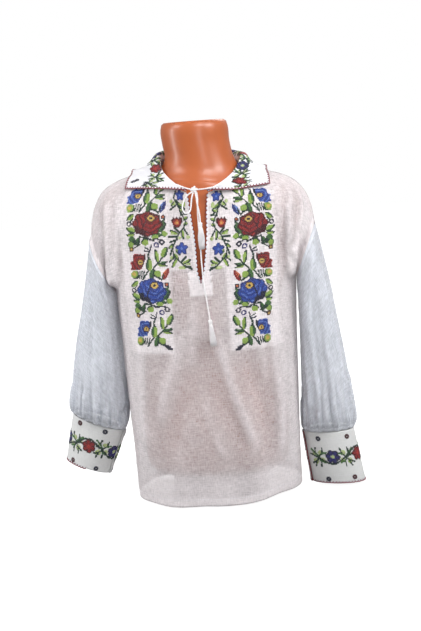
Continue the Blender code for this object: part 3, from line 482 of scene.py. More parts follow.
@dataclass(frozen=True)
class CottonFinish:
    """Woven cotton, sheer where its cover is below 1."""

    name: str
    light: RGB
    shaded: RGB
    cover: float
    doubled_cover: float
    threads_per_metre: float
    bump: float = 0.25
    bump_depth: float = 0.0004
    slub_cover: float = 0.75
    mean_slub_cover: float = 0.315
    hole_cover: float = -0.12

    def material(self) -> Material:
        """The finish as a material that reads the cloth's map and its cover mask of doubled cloth and painted light
        and shade.

        Returns:
            The material.
        """
        sheet = MaterialSheet(self.name)
        cloth_map = sheet.add("ShaderNodeUVMap", {"uv_map": CLOTH_MAP}).outputs["UV"]
        weave = sheet.effect(GROUPS.weave, Map=cloth_map, Threads_per_metre=self.threads_per_metre)
        slubs = sheet.effect(GROUPS.slubs, Map=cloth_map, Object=sheet.place)
        cloudy = sheet.scaled(slubs["Clouds"], 1.4, sheet.scaled(slubs["Slubs"], 2.2, -1.3), clamp=True)
        height = sheet.scaled(slubs["Crinkle"], 3.0, sheet.math("ADD", weave["Height"], slubs["Slubs"]))
        surface = {"Roughness": 0.88, "Sheen_Weight": 0.12, "Specular_IOR_Level": 0.2}
        if self.cover < 1:
            # The mask raises the cover where the cloth is doubled, and also as painted shade at the front's foot and
            # in crease troughs and painted light on its sides, upper chest and crease ridges.
            doubled = sheet.add("ShaderNodeAttribute", {"attribute_name": COVER_AND_PAINTED_LIGHT_MASK}).outputs["Fac"]
            gain = self.doubled_cover - self.cover
            flat = sheet.scaled(doubled, gain, self.cover - self.mean_slub_cover)
            holes = sheet.scaled(weave["Holes"], self.hole_cover, flat)
            surface["Alpha"] = sheet.scaled(slubs["Slubs"], self.slub_cover, holes, clamp=True)
        colour = sheet.blend(cloudy, self.shaded, self.light)
        return sheet.finish(colour, height, (self.bump, self.bump_depth), **surface)


@dataclass(frozen=True)
class ThreadFinish:
    """Spun cotton with a slightly uneven shade: soft twine, or satin floss."""

    name: str
    light: RGB
    shaded: RGB
    roughness: float = 0.8
    sheen: float = 0.25
    bump: tuple[float, float] = (0.5, 0.0003)
    fineness: float = 0.6

    @classmethod
    def of_floss(cls, floss: Floss) -> ThreadFinish:
        """The finish of one shade of stranded cotton.

        Args:
            floss: the shade of floss.

        Returns:
            The finish.
        """
        bright = tuple(min(1.0, part * 1.15 + 0.006) for part in floss.colour)
        dark = tuple(part * 0.62 for part in floss.colour)
        return cls(f"floss_{floss.name.lower()}", bright, dark, 0.55, 0.2, (0.3, 0.0001), 1.0)

    def material(self) -> Material:
        """The thread as a material.

        Returns:
            The material.
        """
        sheet = MaterialSheet(self.name)
        spun = sheet.effect(GROUPS.strands, Object=sheet.place, Fineness=self.fineness)
        surface = {"Roughness": self.roughness, "Sheen_Weight": self.sheen}
        colour = sheet.blend(spun["Shade"], self.shaded, self.light)
        return sheet.finish(colour, spun["Height"], self.bump, **surface)


@dataclass(frozen=True)
class MouldingFinish:
    """A moulded plastic shell, glossy or plain."""

    name: str
    colour: RGB
    smeared: RGB
    roughness: float
    smear_roughness: float
    coat: float
    glow: float = 0.0
    coat_roughness: float = 0.22
    bump: tuple[float, float] = (0.12, 0.0012)

    def material(self) -> Material:
        """The moulding as a material with faint smears, fine scratches and a slight ripple.

        Returns:
            The material.
        """
        sheet = MaterialSheet(self.name)
        marks = sheet.effect(GROUPS.handling, Object=sheet.place)
        spread = self.smear_roughness - self.roughness
        surface = {
            "Roughness": sheet.scaled(marks["Smears"], spread, self.roughness, clamp=True),
            "Coat_Weight": self.coat,
            "Coat_Roughness": self.coat_roughness,
        }
        if self.glow:
            seen = sheet.add("ShaderNodeLightPath").outputs["Is Camera Ray"]
            surface["Emission_Color"] = WHITE
            surface["Emission_Strength"] = sheet.math("MULTIPLY", seen, self.glow)
        height = sheet.scaled(marks["Scratches"], 0.06, marks["Ripple"])
        colour = sheet.blend(marks["Smears"], self.colour, self.smeared)
        return sheet.finish(colour, height, self.bump, **surface)


# The body's cotton is tinted pink, painted light from the orange form under it; the sleeves' copy of the same white
# cotton is tinted cool.
BODY_VOILE = CottonFinish("body_voile", (0.90, 0.845, 0.86), (0.74, 0.69, 0.705), 0.18, 0.98, 2100.0)
SLEEVE_VOILE = CottonFinish("sleeve_voile", (0.86, 0.89, 0.96), (0.70, 0.725, 0.785), 0.19, 0.98, 2100.0)
DOUBLED = CottonFinish("doubled_cotton", (0.81, 0.81, 0.84), (0.73, 0.73, 0.77), 1.0, 1.0, 1700.0, 0.35)
# The cuffs' cotton is a darker copy of the doubled cotton, a painted shade, with a slight cream tint of its own.
CUFF = CottonFinish("cuff_cotton", (0.76, 0.765, 0.76), (0.68, 0.685, 0.68), 1.0, 1.0, 1700.0, 0.35)
TWINE = ThreadFinish("cotton_twine", (0.95, 0.93, 0.94), (0.80, 0.78, 0.80))
SEWING = ThreadFinish("sewing_thread", (0.86, 0.86, 0.90), (0.70, 0.70, 0.74))
SHELL = MouldingFinish("orange_brown_shell", (0.475, 0.117, 0.034), (0.43, 0.104, 0.030), 0.34, 0.44, 0.25)
FOOT = MouldingFinish("pale_foot", (0.50, 0.50, 0.52), (0.42, 0.42, 0.44), 0.5, 0.6, 0.0)
FLOOR = MouldingFinish("studio_floor", (0.38, 0.38, 0.38), (0.36, 0.36, 0.36), 0.8, 0.9, 0.0, 0.92)
FLOSSES: list[Material] = []
DOUBLED_COTTON: list[Material] = []


# ---------------------------------------------------------------------------------------------------
# Curves, sweeps and meshes
# ---------------------------------------------------------------------------------------------------
def smooth_through(knots: Sequence[float], values: Grid, at: Sequence[float]) -> Grid:
    """Values on the smooth curve through rows of values.

    Args:
        knots: the place of each row.
        values: the rows.
        at: the places that are wanted.

    Returns:
        One row for each place.
    """
    knots = np.asarray(knots, float)
    values = np.asarray(values, float)
    at = np.atleast_1d(np.asarray(at, float))
    slopes = np.gradient(values, knots, axis=0)
    index = np.clip(np.searchsorted(knots, at, side="right") - 1, 0, len(knots) - 2)
    shape = (-1,) + (1,) * (values.ndim - 1)
    span = (knots[index + 1] - knots[index]).reshape(shape)
    share = (at - knots[index]).reshape(shape) / span
    square, cube = share**2, share**3
    return (
        (2 * cube - 3 * square + 1) * values[index]
        + (cube - 2 * square + share) * span * slopes[index]
        + (3 * square - 2 * cube) * values[index + 1]
        + (cube - square) * span * slopes[index + 1]
    )


def running(lengths: Grid) -> Grid:
    """The total so far, before and after each of a row of lengths."""
    return np.concatenate([[0.0], np.cumsum(lengths)])


def travelled(points: Grid) -> Grid:
    """The distance along a polyline at each of its points."""
    return running(np.linalg.norm(np.diff(np.asarray(points, float), axis=0), axis=1))


def read_along(at: Grid, run: Grid, values: Grid) -> Grid:
    """Three values at distances along a line.

    Args:
        at: the distances.
        run: the distance at each of the line's points.
        values: the three values at each of them.

    Returns:
        One row for each distance.
    """
    return np.stack([np.interp(at, run, values[:, axis]) for axis in range(3)], axis=1)


def fade(amount: Grid, length: float) -> Grid:
    """Nothing below zero, rising softly to one over a length."""
    share = np.clip(amount / length, 0, 1)
    return share * share * (3 - 2 * share)


def askew(points: Grid) -> Grid:
    """Points as the upper shirt hangs: over to the wearer's left, and lower on that side.

    Args:
        points: the points as drawn, in millimetres.

    Returns:
        The points as hung.
    """
    x, z = points[:, 0], points[:, 2]
    moved = points.copy()
    moved[:, 0] += 6.8 * fade(1.3 - np.abs(x) / 135, 1.0) * fade(z - 370, 85)
    moved[:, 2] -= np.interp(x, (-150, -70, 0, 62, 118, 190), (0, 1.5, 6, 12, 8, 3)) * fade(z - 485, 45)
    return moved


def even_steps(points: Grid, step: float) -> Grid:
    """The same line, rounded through its points, with points at even steps.

    Args:
        points: the line's points.
        step: about how far apart the new points are.

    Returns:
        The new points, both ends kept.
    """
    points = np.asarray(points, float)
    knots = travelled(points)
    points = smooth_through(knots, points, np.linspace(0, knots[-1], 12 * len(points)))
    knots = travelled(points)
    count = max(3, int(round(knots[-1] / step)) + 1)
    return read_along(np.linspace(0, knots[-1], count), knots, points)


def unit(vectors: Grid) -> Grid:
    """Vectors scaled to length 1."""
    return vectors / np.maximum(np.linalg.norm(vectors, axis=-1, keepdims=True), 1e-12)


def carried_frames(path: Grid, up: Grid | None = None) -> tuple[Grid, Grid]:
    """Two directions across a path at each point, with no twist of their own.

    Args:
        path: the path's points.
        up: where given, the direction that the second one follows at each point.

    Returns:
        The side directions and the up directions.
    """
    along = unit(np.gradient(path, axis=0))
    if up is None:
        first = np.array([0.0, 0.0, 1.0]) if abs(along[0, 2]) < 0.9 else np.array([1.0, 0.0, 0.0])
        ups = [unit(first - along[0] * (first @ along[0]))]
        for direction in along[1:]:
            ups.append(unit(ups[-1] - direction * (ups[-1] @ direction)))
        up = np.array(ups)
    else:
        up = unit(up - along * np.sum(up * along, axis=1, keepdims=True))
    return np.cross(along, up), up


def edges_of(face: Sequence[int]) -> list[tuple[int, int]]:
    """A face's edges in turn, as pairs of corner numbers."""
    return [(int(a), int(b)) for a, b in zip(face, [*face[1:], face[0]])]


def ring_quads(rings: int, around: int) -> list[tuple[int, ...]]:
    """The quads between rings of points that are numbered ring by ring.

    Args:
        rings: how many rings there are.
        around: how many points each ring has.

    Returns:
        The quads as corner numbers.
    """
    return [
        (low + step, low + (step + 1) % around, low + around + (step + 1) % around, low + around + step)
        for low in range(0, (rings - 1) * around, around)
        for step in range(around)
    ]


def bar_faces(rings: int, around: int) -> list[tuple[int, ...]]:
    """A bar's faces: the quads between its rings, then its two ends."""
    last = (rings - 1) * around
    return ring_quads(rings, around) + [tuple(reversed(range(around))), tuple(range(last, last + around))]


def new_piece(name: str, mesh: bpy.types.Mesh, slot_name: str, *nodes: str) -> Piece:
    """Puts a finished mesh in the scene, where it rides with the shirt.

    Args:
        name: the piece's name.
        mesh: its mesh.
        slot_name: the record's slot of its material.
        *nodes: the plain solids that it stands for.

    Returns:
        The piece.
    """
    piece = bpy.data.objects.new(name, mesh)
    bpy.context.scene.collection.objects.link(piece)
    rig.ride(piece, "root")
    if nodes:
        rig.replaces(piece, *nodes)
    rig.slot(piece, slot_name)
    log.info("%s: %d faces", name, len(mesh.polygons))
    return piece


@dataclass
class MeshMaker:
    """Collects points and faces, then makes one closed object of them."""

    name: str
    points: list[Grid] = field(default_factory=list)
    faces: list[tuple[int, ...]] = field(default_factory=list)
    slots: list[int] = field(default_factory=list)
    count: int = 0

    def add(self, points: Grid, faces: Iterable[Sequence[int]], slot: int = 0) -> None:
        """Adds a closed part.

        Args:
            points: its points, in millimetres.
            faces: its faces, numbered within the part.
            slot: the material slot of its faces.
        """
        points = np.asarray(points, float)
        before = len(self.faces)
        self.faces.extend(tuple(corner + self.count for corner in face) for face in faces)
        self.slots.extend([slot] * (len(self.faces) - before))
        self.points.append(points)
        self.count += len(points)

    def sweep(
        self, path: Grid, section: Callable[[int], Grid], up: Grid | None = None, slot: int = 0
    ) -> None:
        """Adds a closed bar whose section is carried along a path.

        Args:
            path: the path's points.
            section: gives, for a point's number, the section's points as side and up distances.
            up: the up direction at each point, where it matters.
            slot: the material slot.
        """
        side, ups = carried_frames(path, up)
        rings = []
        for index in range(len(path)):
            outline = section(index)
            rings.append(path[index] + outline[:, :1] * side[index] + outline[:, 1:] * ups[index])
        self.add(np.concatenate(rings), bar_faces(len(path), len(rings[0])), slot)

    def tube(self, path: Grid, radius: float | Grid, sides: int = 6, slot: int = 0) -> None:
        """Adds a round tube along a path.

        Args:
            path: the path's points.
            radius: one radius, or one for each point.
            sides: how many sides it has.
            slot: the material slot.
        """
        radii = np.broadcast_to(np.asarray(radius, float), (len(path),))
        turn = np.linspace(0, 2 * math.pi, sides, endpoint=False)
        circle = np.stack([np.cos(turn), np.sin(turn)], axis=1)
        self.sweep(path, lambda index: circle * radii[index], slot=slot)

    def finish(self, materials: Sequence[Material], slot_name: str, *nodes: str) -> Piece:
        """Makes the piece, shaded smooth.

        Args:
            materials: one for each slot.
            slot_name: the record's slot of its material.
            *nodes: the plain solids that it stands for.

        Returns:
            The piece, which rides with the shirt.
        """
        mesh = bpy.data.meshes.new(self.name)
        mesh.from_pydata(np.concatenate(self.points) * METRES, [], self.faces)
        for material in materials:
            mesh.materials.append(material)
        mesh.polygons.foreach_set("material_index", np.asarray(self.slots, np.int32))
        mesh.polygons.foreach_set("use_smooth", np.full(len(self.faces), True))
        mesh.update()
        return new_piece(self.name, mesh, slot_name, *nodes)


# ---------------------------------------------------------------------------------------------------
# Reading the solids
# ---------------------------------------------------------------------------------------------------
def away_from_body(points: Grid) -> Grid:
    """Directions out of the shirt's upright axis at each point.

    Args:
        points: the points.

    Returns:
        The directions, one for each point.
    """
    outward = np.asarray(points, float).copy()
    outward[..., 2] = 0
    return outward


def away_from_middle(points: Grid) -> Grid:
    """Directions out of the points' own middle."""
    points = np.asarray(points, float)
    return points - points.reshape(-1, 3).mean(axis=0)


def merged_points(mesh: bpy.types.Mesh) -> tuple[Grid, Grid]:
    """A mesh's points in millimetres, those that lie together made one.

    Args:
        mesh: the mesh.

    Returns:
        The points, and the number of each vertex's point among them.
    """
    corners = np.zeros(len(mesh.vertices) * 3, np.float32)
    mesh.vertices.foreach_get("co", corners)
    rounded = np.round(corners.reshape(-1, 3).astype(float) / METRES, 2)
    points, number = np.unique(rounded, axis=0, return_inverse=True)
    return points, number.reshape(-1)


@dataclass
class SolidReader:
    """Reads a plain cloth solid's outer face as rows of points."""

    node: str
    wall: float
    outward: Callable[[Grid], Grid] = away_from_body
    points: Grid = field(init=False)
    by_edge: dict[frozenset[int], list[int]] = field(init=False)
    triangles: Grid = field(init=False)

    def __post_init__(self) -> None:
        """Merges the solid's points and keeps its outer face's triangles."""
        mesh = bpy.data.objects[self.node].data
        self.points, merged = merged_points(mesh)
        mesh.calc_loop_triangles()
        found = np.zeros(len(mesh.loop_triangles) * 3, np.int32)
        mesh.loop_triangles.foreach_get("vertices", found)
        triangles = merged[found.reshape(-1, 3)]
        drawn = self.points.copy()
        for _ in range(25):
            drawn += self.points - askew(drawn)
        lengths = np.linalg.norm(drawn[triangles] - drawn[np.roll(triangles, -1, axis=1)], axis=2)
        rim = (np.abs(lengths - self.wall) < 0.02).any(axis=1)
        self.triangles = self.outer(triangles[~rim])
        self.by_edge = {}
        for number, triangle in enumerate(self.triangles):
            for edge in edges_of(triangle):
                self.by_edge.setdefault(frozenset(edge), []).append(number)

    def outer(self, triangles: Grid) -> Grid:
        """The triangles of the face that looks outward.

        Args:
            triangles: the two faces' triangles.

        Returns:
            One face's triangles.
        """
        parent = list(range(len(self.points)))

        def root(index: int) -> int:
            """The point that stands for all those joined to this one."""
            while parent[index] != index:
                parent[index] = parent[parent[index]]
                index = parent[index]
            return index

        for a, b, c in triangles:
            parent[root(int(a))] = root(int(b))
            parent[root(int(b))] = root(int(c))
        group = np.array([root(int(a)) for a in triangles[:, 0]])
        best, best_score = triangles, -math.inf
        for label in np.unique(group):
            part = triangles[group == label]
            corners = self.points[part]
            normals = np.cross(corners[:, 1] - corners[:, 0], corners[:, 2] - corners[:, 0])
            score = float(np.sum(normals * unit(self.outward(corners.mean(axis=1)))))
            if score > best_score:
                best, best_score = part, score
        return best

    def loops(self) -> list[list[int]]:
        """The outer face's edges as closed loops of points.

        Returns:
            Each loop as the numbers of its points.
        """
        after: dict[int, int] = {}
        for triangle in self.triangles:
            after.update((a, b) for a, b in edges_of(triangle) if len(self.by_edge[frozenset((a, b))]) == 1)
        found = []
        while after:
            first = next(iter(after))
            loop = [first]
            following = after.pop(first)
            while following != first:
                loop.append(following)
                following = after.pop(following)
            found.append(loop)
        return found

    def apex(self, triangle: int, a: int, b: int) -> int:
        """A triangle's third point."""
        return next(int(corner) for corner in self.triangles[triangle] if corner not in (a, b))

    def across(self, a: int, b: int, used: int = -1) -> int | None:
        """The triangle on the other side of an edge, if there is one."""
        others = [number for number in self.by_edge.get(frozenset((a, b)), ()) if number != used]
        return others[0] if others else None

    def next_row(self, row: list[int], first: int, start: int, closed: bool) -> list[int] | None:
        """The row beyond a row of points.

        Args:
            row: the row that is known.
            first: the new row's first point.
            start: the triangle that the walk begins in.
            closed: whether the rows are rings.

        Returns:
            The new row, or nothing where the walk doesn't hold.
        """
        made = [first]
        triangle: int | None = start
        steps = len(row) if closed else len(row) - 1
        for step in range(steps):
            a, b, a_next = row[step], made[-1], row[(step + 1) % len(row)]
            if triangle is None:
                return None
            point = self.apex(triangle, a, b)
            shared = (a_next, b) if point == a_next else (a, point)
            second = self.across(*shared, triangle)
            if second is None:
                return None
            far = self.apex(second, *shared)
            if a_next not in (point, far):
                return None
            made.append(far if point == a_next else point)
            triangle = self.across(a_next, made[-1], second)
        if closed and made.pop() != first:
            return None
        return made

    def follow(self, row: list[int], first: int) -> list[int]:
        """The row beyond an open row of points.

        Args:
            row: the row that is known.
            first: the new row's first point.

        Returns:
            The new row.
        """
        found = self.next_row(row, first, self.across(row[0], first), False)
        if found is None:
            raise ValueError(f"{self.node}: a row couldn't be followed")
        return found


def read_body_panel(node: str, wall: float, columns: int, rows: int, slit_row: int | None) -> Grid:
    """A front or back panel as rows from the hem up.

    Args:
        node: the solid.
        wall: its thickness.
        columns: how many points a row has.
        rows: how many rows there are.
        slit_row: the last row that runs across the middle, where the panel has a slit.

    Returns:
        The points, rows by columns.
    """
    reader = SolidReader(node, wall)
    (loop,) = reader.loops()
    low = [bool(reader.points[index][2] < 20) for index in loop]
    if sum(low) != columns:
        raise ValueError(f"{node}: the hem has {sum(low)} points and not {columns}")
    start = next(at for at in range(len(loop)) if low[at] and not low[at - 1])
    row = (loop[start:] + loop[:start])[:columns]
    if reader.points[row[0]][0] > reader.points[row[-1]][0]:
        row.reverse()
    made = [row]
    known = set(row)

    def walk(half: list[int]) -> list[int]:
        """The row beyond a whole row or beyond one side of it."""
        at = loop.index(half[0])
        near = [loop[at - 1], loop[(at + 1) % len(loop)]]
        return reader.follow(half, next(index for index in near if index not in known))

    middle = columns // 2
    for number in range(1, rows):
        if slit_row is None or number <= slit_row:
            row = walk(made[-1])
        else:
            row = walk(made[-1][:middle]) + walk(made[-1][middle:][::-1])[::-1]
        known.update(row)
        made.append(row)
    return reader.points[np.array(made)]


def read_rings(node: str, wall: float) -> Grid:
    """A sleeve as rings from its upper edge down, each starting at the same seam.

    Args:
        node: the solid.
        wall: its thickness.

    Returns:
        The points, rings by points around.
    """
    reader = SolidReader(node, wall, away_from_middle)
    loops = sorted(reader.loops(), key=lambda loop: -reader.points[loop][:, 2].mean())
    row = loops[0]
    made = [row]
    known = set(row)
    while not known & set(loops[-1]):
        tried: list[tuple[float, list[int]]] = []
        for edge in [edge for edge in reader.by_edge if row[0] in edge]:
            first = next(index for index in edge if index != row[0])
            if first in known:
                continue
            for start in reader.by_edge[edge]:
                found = reader.next_row(row, first, start, True)
                if found is not None and not set(found) & known:
                    apart = reader.points[found] - reader.points[row]
                    tried.append((float(np.linalg.norm(apart, axis=1).sum()), found))
        if not tried:
            raise ValueError(f"{node}: a ring couldn't be followed")
        row = min(tried)[1]
        known.update(row)
        made.append(row)
    return reader.points[np.array(made)]


def read_band(node: str, wall: float, columns: int, rows: int, outward: Callable[[Grid], Grid]) -> Grid:
    """A cuff or collar as rows from its upper edge down.

    Args:
        node: the solid.
        wall: its thickness.
        columns: how many points a row has.
        rows: how many rows there are.
        outward: the directions that its outer face looks along.

    Returns:
        The points, rows by columns.
    """
    reader = SolidReader(node, wall, outward)
    (loop,) = reader.loops()
    if len(loop) != 2 * (columns + rows) - 4:
        raise ValueError(f"{node}: its edge has {len(loop)} points")
    points = reader.points[loop]
    ahead, behind = unit(np.roll(points, -1, axis=0) - points), unit(points - np.roll(points, 1, axis=0))
    turning = np.einsum("ij,ij->i", ahead, behind)
    corners = np.array([0, columns - 1, columns + rows - 2, 2 * columns + rows - 3])
    scores = [turning[(start + corners) % len(loop)].sum() for start in range(len(loop))]
    start = int(np.argmin(scores))
    loop = loop[start:] + loop[:start]
    made = [loop[:columns]]
    for first in loop[::-1][: rows - 1]:
        made.append(reader.follow(made[-1], first))
    if set(made[-1]) != set(loop[columns + rows - 2 : 2 * columns + rows - 2]):
        raise ValueError(f"{node}: its last row isn't its far edge")
    grid = reader.points[np.array(made)]
    return grid if grid[0, :, 2].mean() > grid[-1, :, 2].mean() else grid[::-1]


# ---------------------------------------------------------------------------------------------------
# Cloth
# ---------------------------------------------------------------------------------------------------
@dataclass(frozen=True)
class Crease:
    """A soft ridge, or a trough where its rise is negative, along a line on the cloth's flat map."""

    line: tuple[tuple[float, float], ...]
    half_width: float
    rise: float
    lean: float = 0.3

    def lift(self, across: Grid, along: Grid, turn: float | None = None) -> Grid:
        """How far the crease lifts each point.

        Args:
            across: the points' places across the map.
            along: their places along it.
            turn: the length around, where the cloth is a ring.

        Returns:
            The lifts.
        """
        line = np.asarray(self.line, float)
        knots = travelled(line)
        fine = smooth_through(knots, line, np.linspace(0, knots[-1], 6 * len(line)))
        best = np.full(across.shape, np.inf)
        signed, share = np.zeros(across.shape), np.zeros(across.shape)
        for number in range(len(fine) - 1):
            start, step = fine[number], fine[number + 1] - fine[number]
            side = across - start[0]
            if turn is not None:
                side = (side + turn / 2) % turn - turn / 2
            rise = along - start[1]
            at = np.clip((side * step[0] + rise * step[1]) / float(step @ step), 0, 1)
            apart = np.hypot(side - at * step[0], rise - at * step[1])
            near = apart < best
            best = np.where(near, apart, best)
            signed = np.where(near, np.sign(side * step[1] - rise * step[0]) * apart, signed)
            share = np.where(near, (number + at) / (len(fine) - 1), share)
        end_fade = np.clip(np.minimum(share, 1 - share) * 5, 0, 1)
        end_fade = end_fade**2 * (3 - 2 * end_fade)
        ridge = np.exp(-((signed / self.half_width) ** 2))
        hollow = np.exp(-(((signed - 1.7 * self.half_width) / self.half_width) ** 2))
        return self.rise * end_fade * (ridge - self.lean * hollow)


@dataclass(frozen=True)
class Ripple:
    """A shallow unevenness of washed cloth, longer one way than the other."""

    across: float
    along: float
    height: float
    seed: float

    def lift(self, across: Grid, along: Grid, turn: float | None = None) -> Grid:
        """How far the ripple lifts each point.

        Args:
            across: the points' places across the map.
            along: their places along it.
            turn: the length around, which a ripple takes no account of.

        Returns:
            The lifts.
        """
        flat = zip((across / self.across).ravel(), (along / self.along).ravel())
        values = [noise.noise(Vector((x, y, self.seed))) for x, y in flat]
        return self.height * np.array(values).reshape(across.shape)


def finer_places(knots: Grid, cell: float, whole: Sequence[int] = ()) -> tuple[Grid, list[int]]:
    """Places that split each gap between knots evenly.

    Args:
        knots: the places that are kept.
        cell: about how wide a split is.
        whole: the gaps that aren't split.

    Returns:
        The places, and the number of each knot among them.
    """
    places, numbers = [], []
    for gap in range(len(knots) - 1):
        count = 1 if gap in whole else max(1, int(round((knots[gap + 1] - knots[gap]) / cell)))
        numbers.append(len(places))
        places.extend(np.linspace(knots[gap], knots[gap + 1], count, endpoint=False))
    numbers.append(len(places))
    places.append(knots[-1])
    return np.array(places), numbers


def down_rows(rows: Grid) -> Grid:
    """The mean distance down a grid at each of its rows."""
    return running(np.linalg.norm(np.diff(rows, axis=0), axis=2).mean(axis=1))


@dataclass
class Cloth:
    """A cut piece's outer face as a fine grid, with a flat map of it: across and along, in millimetres."""

    name: str
    source: Grid
    cell: float
    closed: bool = False
    slit_row: int | None = None
    outward: Callable[[Grid], Grid] = away_from_body
    points: Grid = field(init=False)
    normals: Grid = field(init=False)
    across: Grid = field(init=False)
    along: Grid = field(init=False)
    doubled: Grid = field(init=False)
    lifted: Grid = field(init=False)
    foot: int = field(init=False, default=0)
    middle: int = field(init=False, default=0)
    flipped: bool = field(init=False, default=False)
    flat_faces: list[tuple[int, int, int]] = field(init=False, default_factory=list)

    def __post_init__(self) -> None:
        """Draws the grid out fine and measures its map."""
        self.points = self.refined()
        self.measure()
        self.face_outward()
        self.doubled = np.zeros(self.points.shape[:2])
        self.lifted = np.zeros(self.points.shape[:2])

    def refined(self) -> Grid:
        """The source grid with more points, smooth through its own.

        Returns:
            The finer grid.
        """
        source = self.source
        gaps = np.linalg.norm(np.diff(source, axis=1), axis=2).mean(axis=0)
        if self.closed:
            ends = np.linalg.norm(source[:, 0] - source[:, -1], axis=1).mean()
            source = np.concatenate([source[:, -2:], source, source[:, :3]], axis=1)
            gaps = np.concatenate([gaps[-1:], [ends], gaps, [ends], gaps[:2]])
        knots = running(gaps)
        half = source.shape[1] // 2
        split = self.slit_row is not None
        kept = knots[2:-2] if self.closed else knots
        at, numbers = finer_places(kept, self.cell, (half - 1,) if split else ())
        if self.closed:
            at = at[:-1]
        rows = []
        for number, row in enumerate(source):
            if split and number > self.slit_row:
                self.middle = numbers[half - 1]
                left = smooth_through(knots[:half], row[:half], at[: self.middle + 1])
                right = smooth_through(knots[half:], row[half:], at[self.middle + 1 :])
                rows.append(np.concatenate([left, right]))
            else:
                rows.append(smooth_through(knots, row, at))
        wide = np.array(rows)
        down = down_rows(wide)
        at, numbers = finer_places(down, self.cell)
        if split:
            self.foot = numbers[self.slit_row]
        return smooth_through(down, wide, at)

    def measure(self) -> None:
        """Works out the flat map from the lengths along rows and columns."""
        rows, columns = self.points.shape[:2]
        steps = np.linalg.norm(np.diff(self.points, axis=1), axis=2)
        down = np.linalg.norm(np.diff(self.points, axis=0), axis=2)
        self.along = np.concatenate([np.zeros((1, columns)), np.cumsum(down, axis=0)])
        run = running(steps[rows // 2])
        if self.closed or self.outward is away_from_middle:
            self.across = np.tile(run, (rows, 1))
        elif self.name == "collar":
            self.across = np.tile(run - run[-1] / 2, (rows, 1))
        else:
            self.measure_panel(steps)

    def measure_panel(self, steps: Grid) -> None:
        """Works out a panel's map, measured across from the shirt's middle and up from its foot.

        Args:
            steps: the lengths along its rows.
        """
        rows, columns = self.points.shape[:2]
        run = np.concatenate([np.zeros((rows, 1)), np.cumsum(steps, axis=1)], axis=1)
        self.across = np.empty((rows, columns))
        for row in range(rows):
            x = self.points[row, :, 0]
            if self.slit_row is not None and row > self.foot:
                left, right = self.middle, self.middle + 1
                self.across[row, :right] = x[left] + run[row, :right] - run[row, left]
                self.across[row, right:] = x[right] + run[row, right:] - run[row, right]
            else:
                order = np.argsort(x)
                self.across[row] = run[row] - np.interp(0.0, x[order], run[row][order])
        level = self.foot
        if self.slit_row is None:
            level = int(np.argmin(abs(self.points[:, 0, 2] - SLIT_FOOT)))
        self.along += self.points[level, :, 2] - self.along[level]

    def face_outward(self) -> None:
        """Works out the normals, turned outward."""
        points = self.points
        if self.closed:
            wrapped = np.concatenate([points[:, -1:], points, points[:, :1]], axis=1)
            side = np.gradient(wrapped, axis=1)[:, 1:-1]
        else:
            side = np.gradient(points, axis=1)
        if self.slit_row is not None:
            above, right = self.foot + 1, self.middle + 1
            halves = points[above:, :right], points[above:, right:]
            side[above:] = np.concatenate([np.gradient(half, axis=1) for half in halves], axis=1)
        normals = unit(np.cross(side, np.gradient(points, axis=0)))
        self.flipped = bool(np.sum(normals * unit(self.outward(points))) < 0)
        self.normals = -normals if self.flipped else normals

    def crease(self, lifts: Sequence[Crease | Ripple], keep: Grid | float = 1.0) -> None:
        """Lifts the cloth by its creases.

        Args:
            lifts: the creases and ripples.
            keep: how much of them each point takes.
        """
        total = np.zeros(self.across.shape)
        turn = None
        if self.closed:
            turn = float(self.across[0, -1] + np.linalg.norm(self.points[0, -1] - self.points[0, 0]))
        for lift in lifts:
            total += lift.lift(self.across, self.along, turn)
        if self.closed:
            total *= np.clip(np.minimum(self.across - self.across[:, :1], turn - self.across) / 12, 0, 1)
        self.lifted = self.lifted + total * keep
        self.points = self.points + self.normals * (total * keep)[..., None]
        self.face_outward()

    def clear(self, inner: BVHTree, room: float) -> None:
        """Moves the cloth out to where it clears what it is worn on.

        Args:
            inner: the surface that it is worn on.
            room: the least distance of its outer face from that surface.
        """
        flat = self.points.reshape(-1, 3)
        for index, point in enumerate(flat):
            place, normal, _, _ = inner.find_nearest(Vector(point), room + 6)
            if place is None:
                continue
            away = np.array(normal)
            lack = room - float((point - np.array(place)) @ away)
            if lack > 0:
                flat[index] = point + away * lack
        self.points = flat.reshape(self.points.shape)
        self.face_outward()

    def cells(self) -> list[tuple[int, int, int, int]]:
        """The grid's quads as corner numbers, wound to face outward.

        Returns:
            The quads.
        """
        rows, columns = self.points.shape[:2]
        found = []
        for row in range(rows - 1):
            for column in range(columns if self.closed else columns - 1):
                if self.slit_row is not None and row >= self.foot and column == self.middle:
                    continue
                here, after = row * columns + column, row * columns + (column + 1) % columns
                quad = (here, after, after + columns, here + columns)
                found.append(quad[::-1] if self.flipped else quad)
        return found

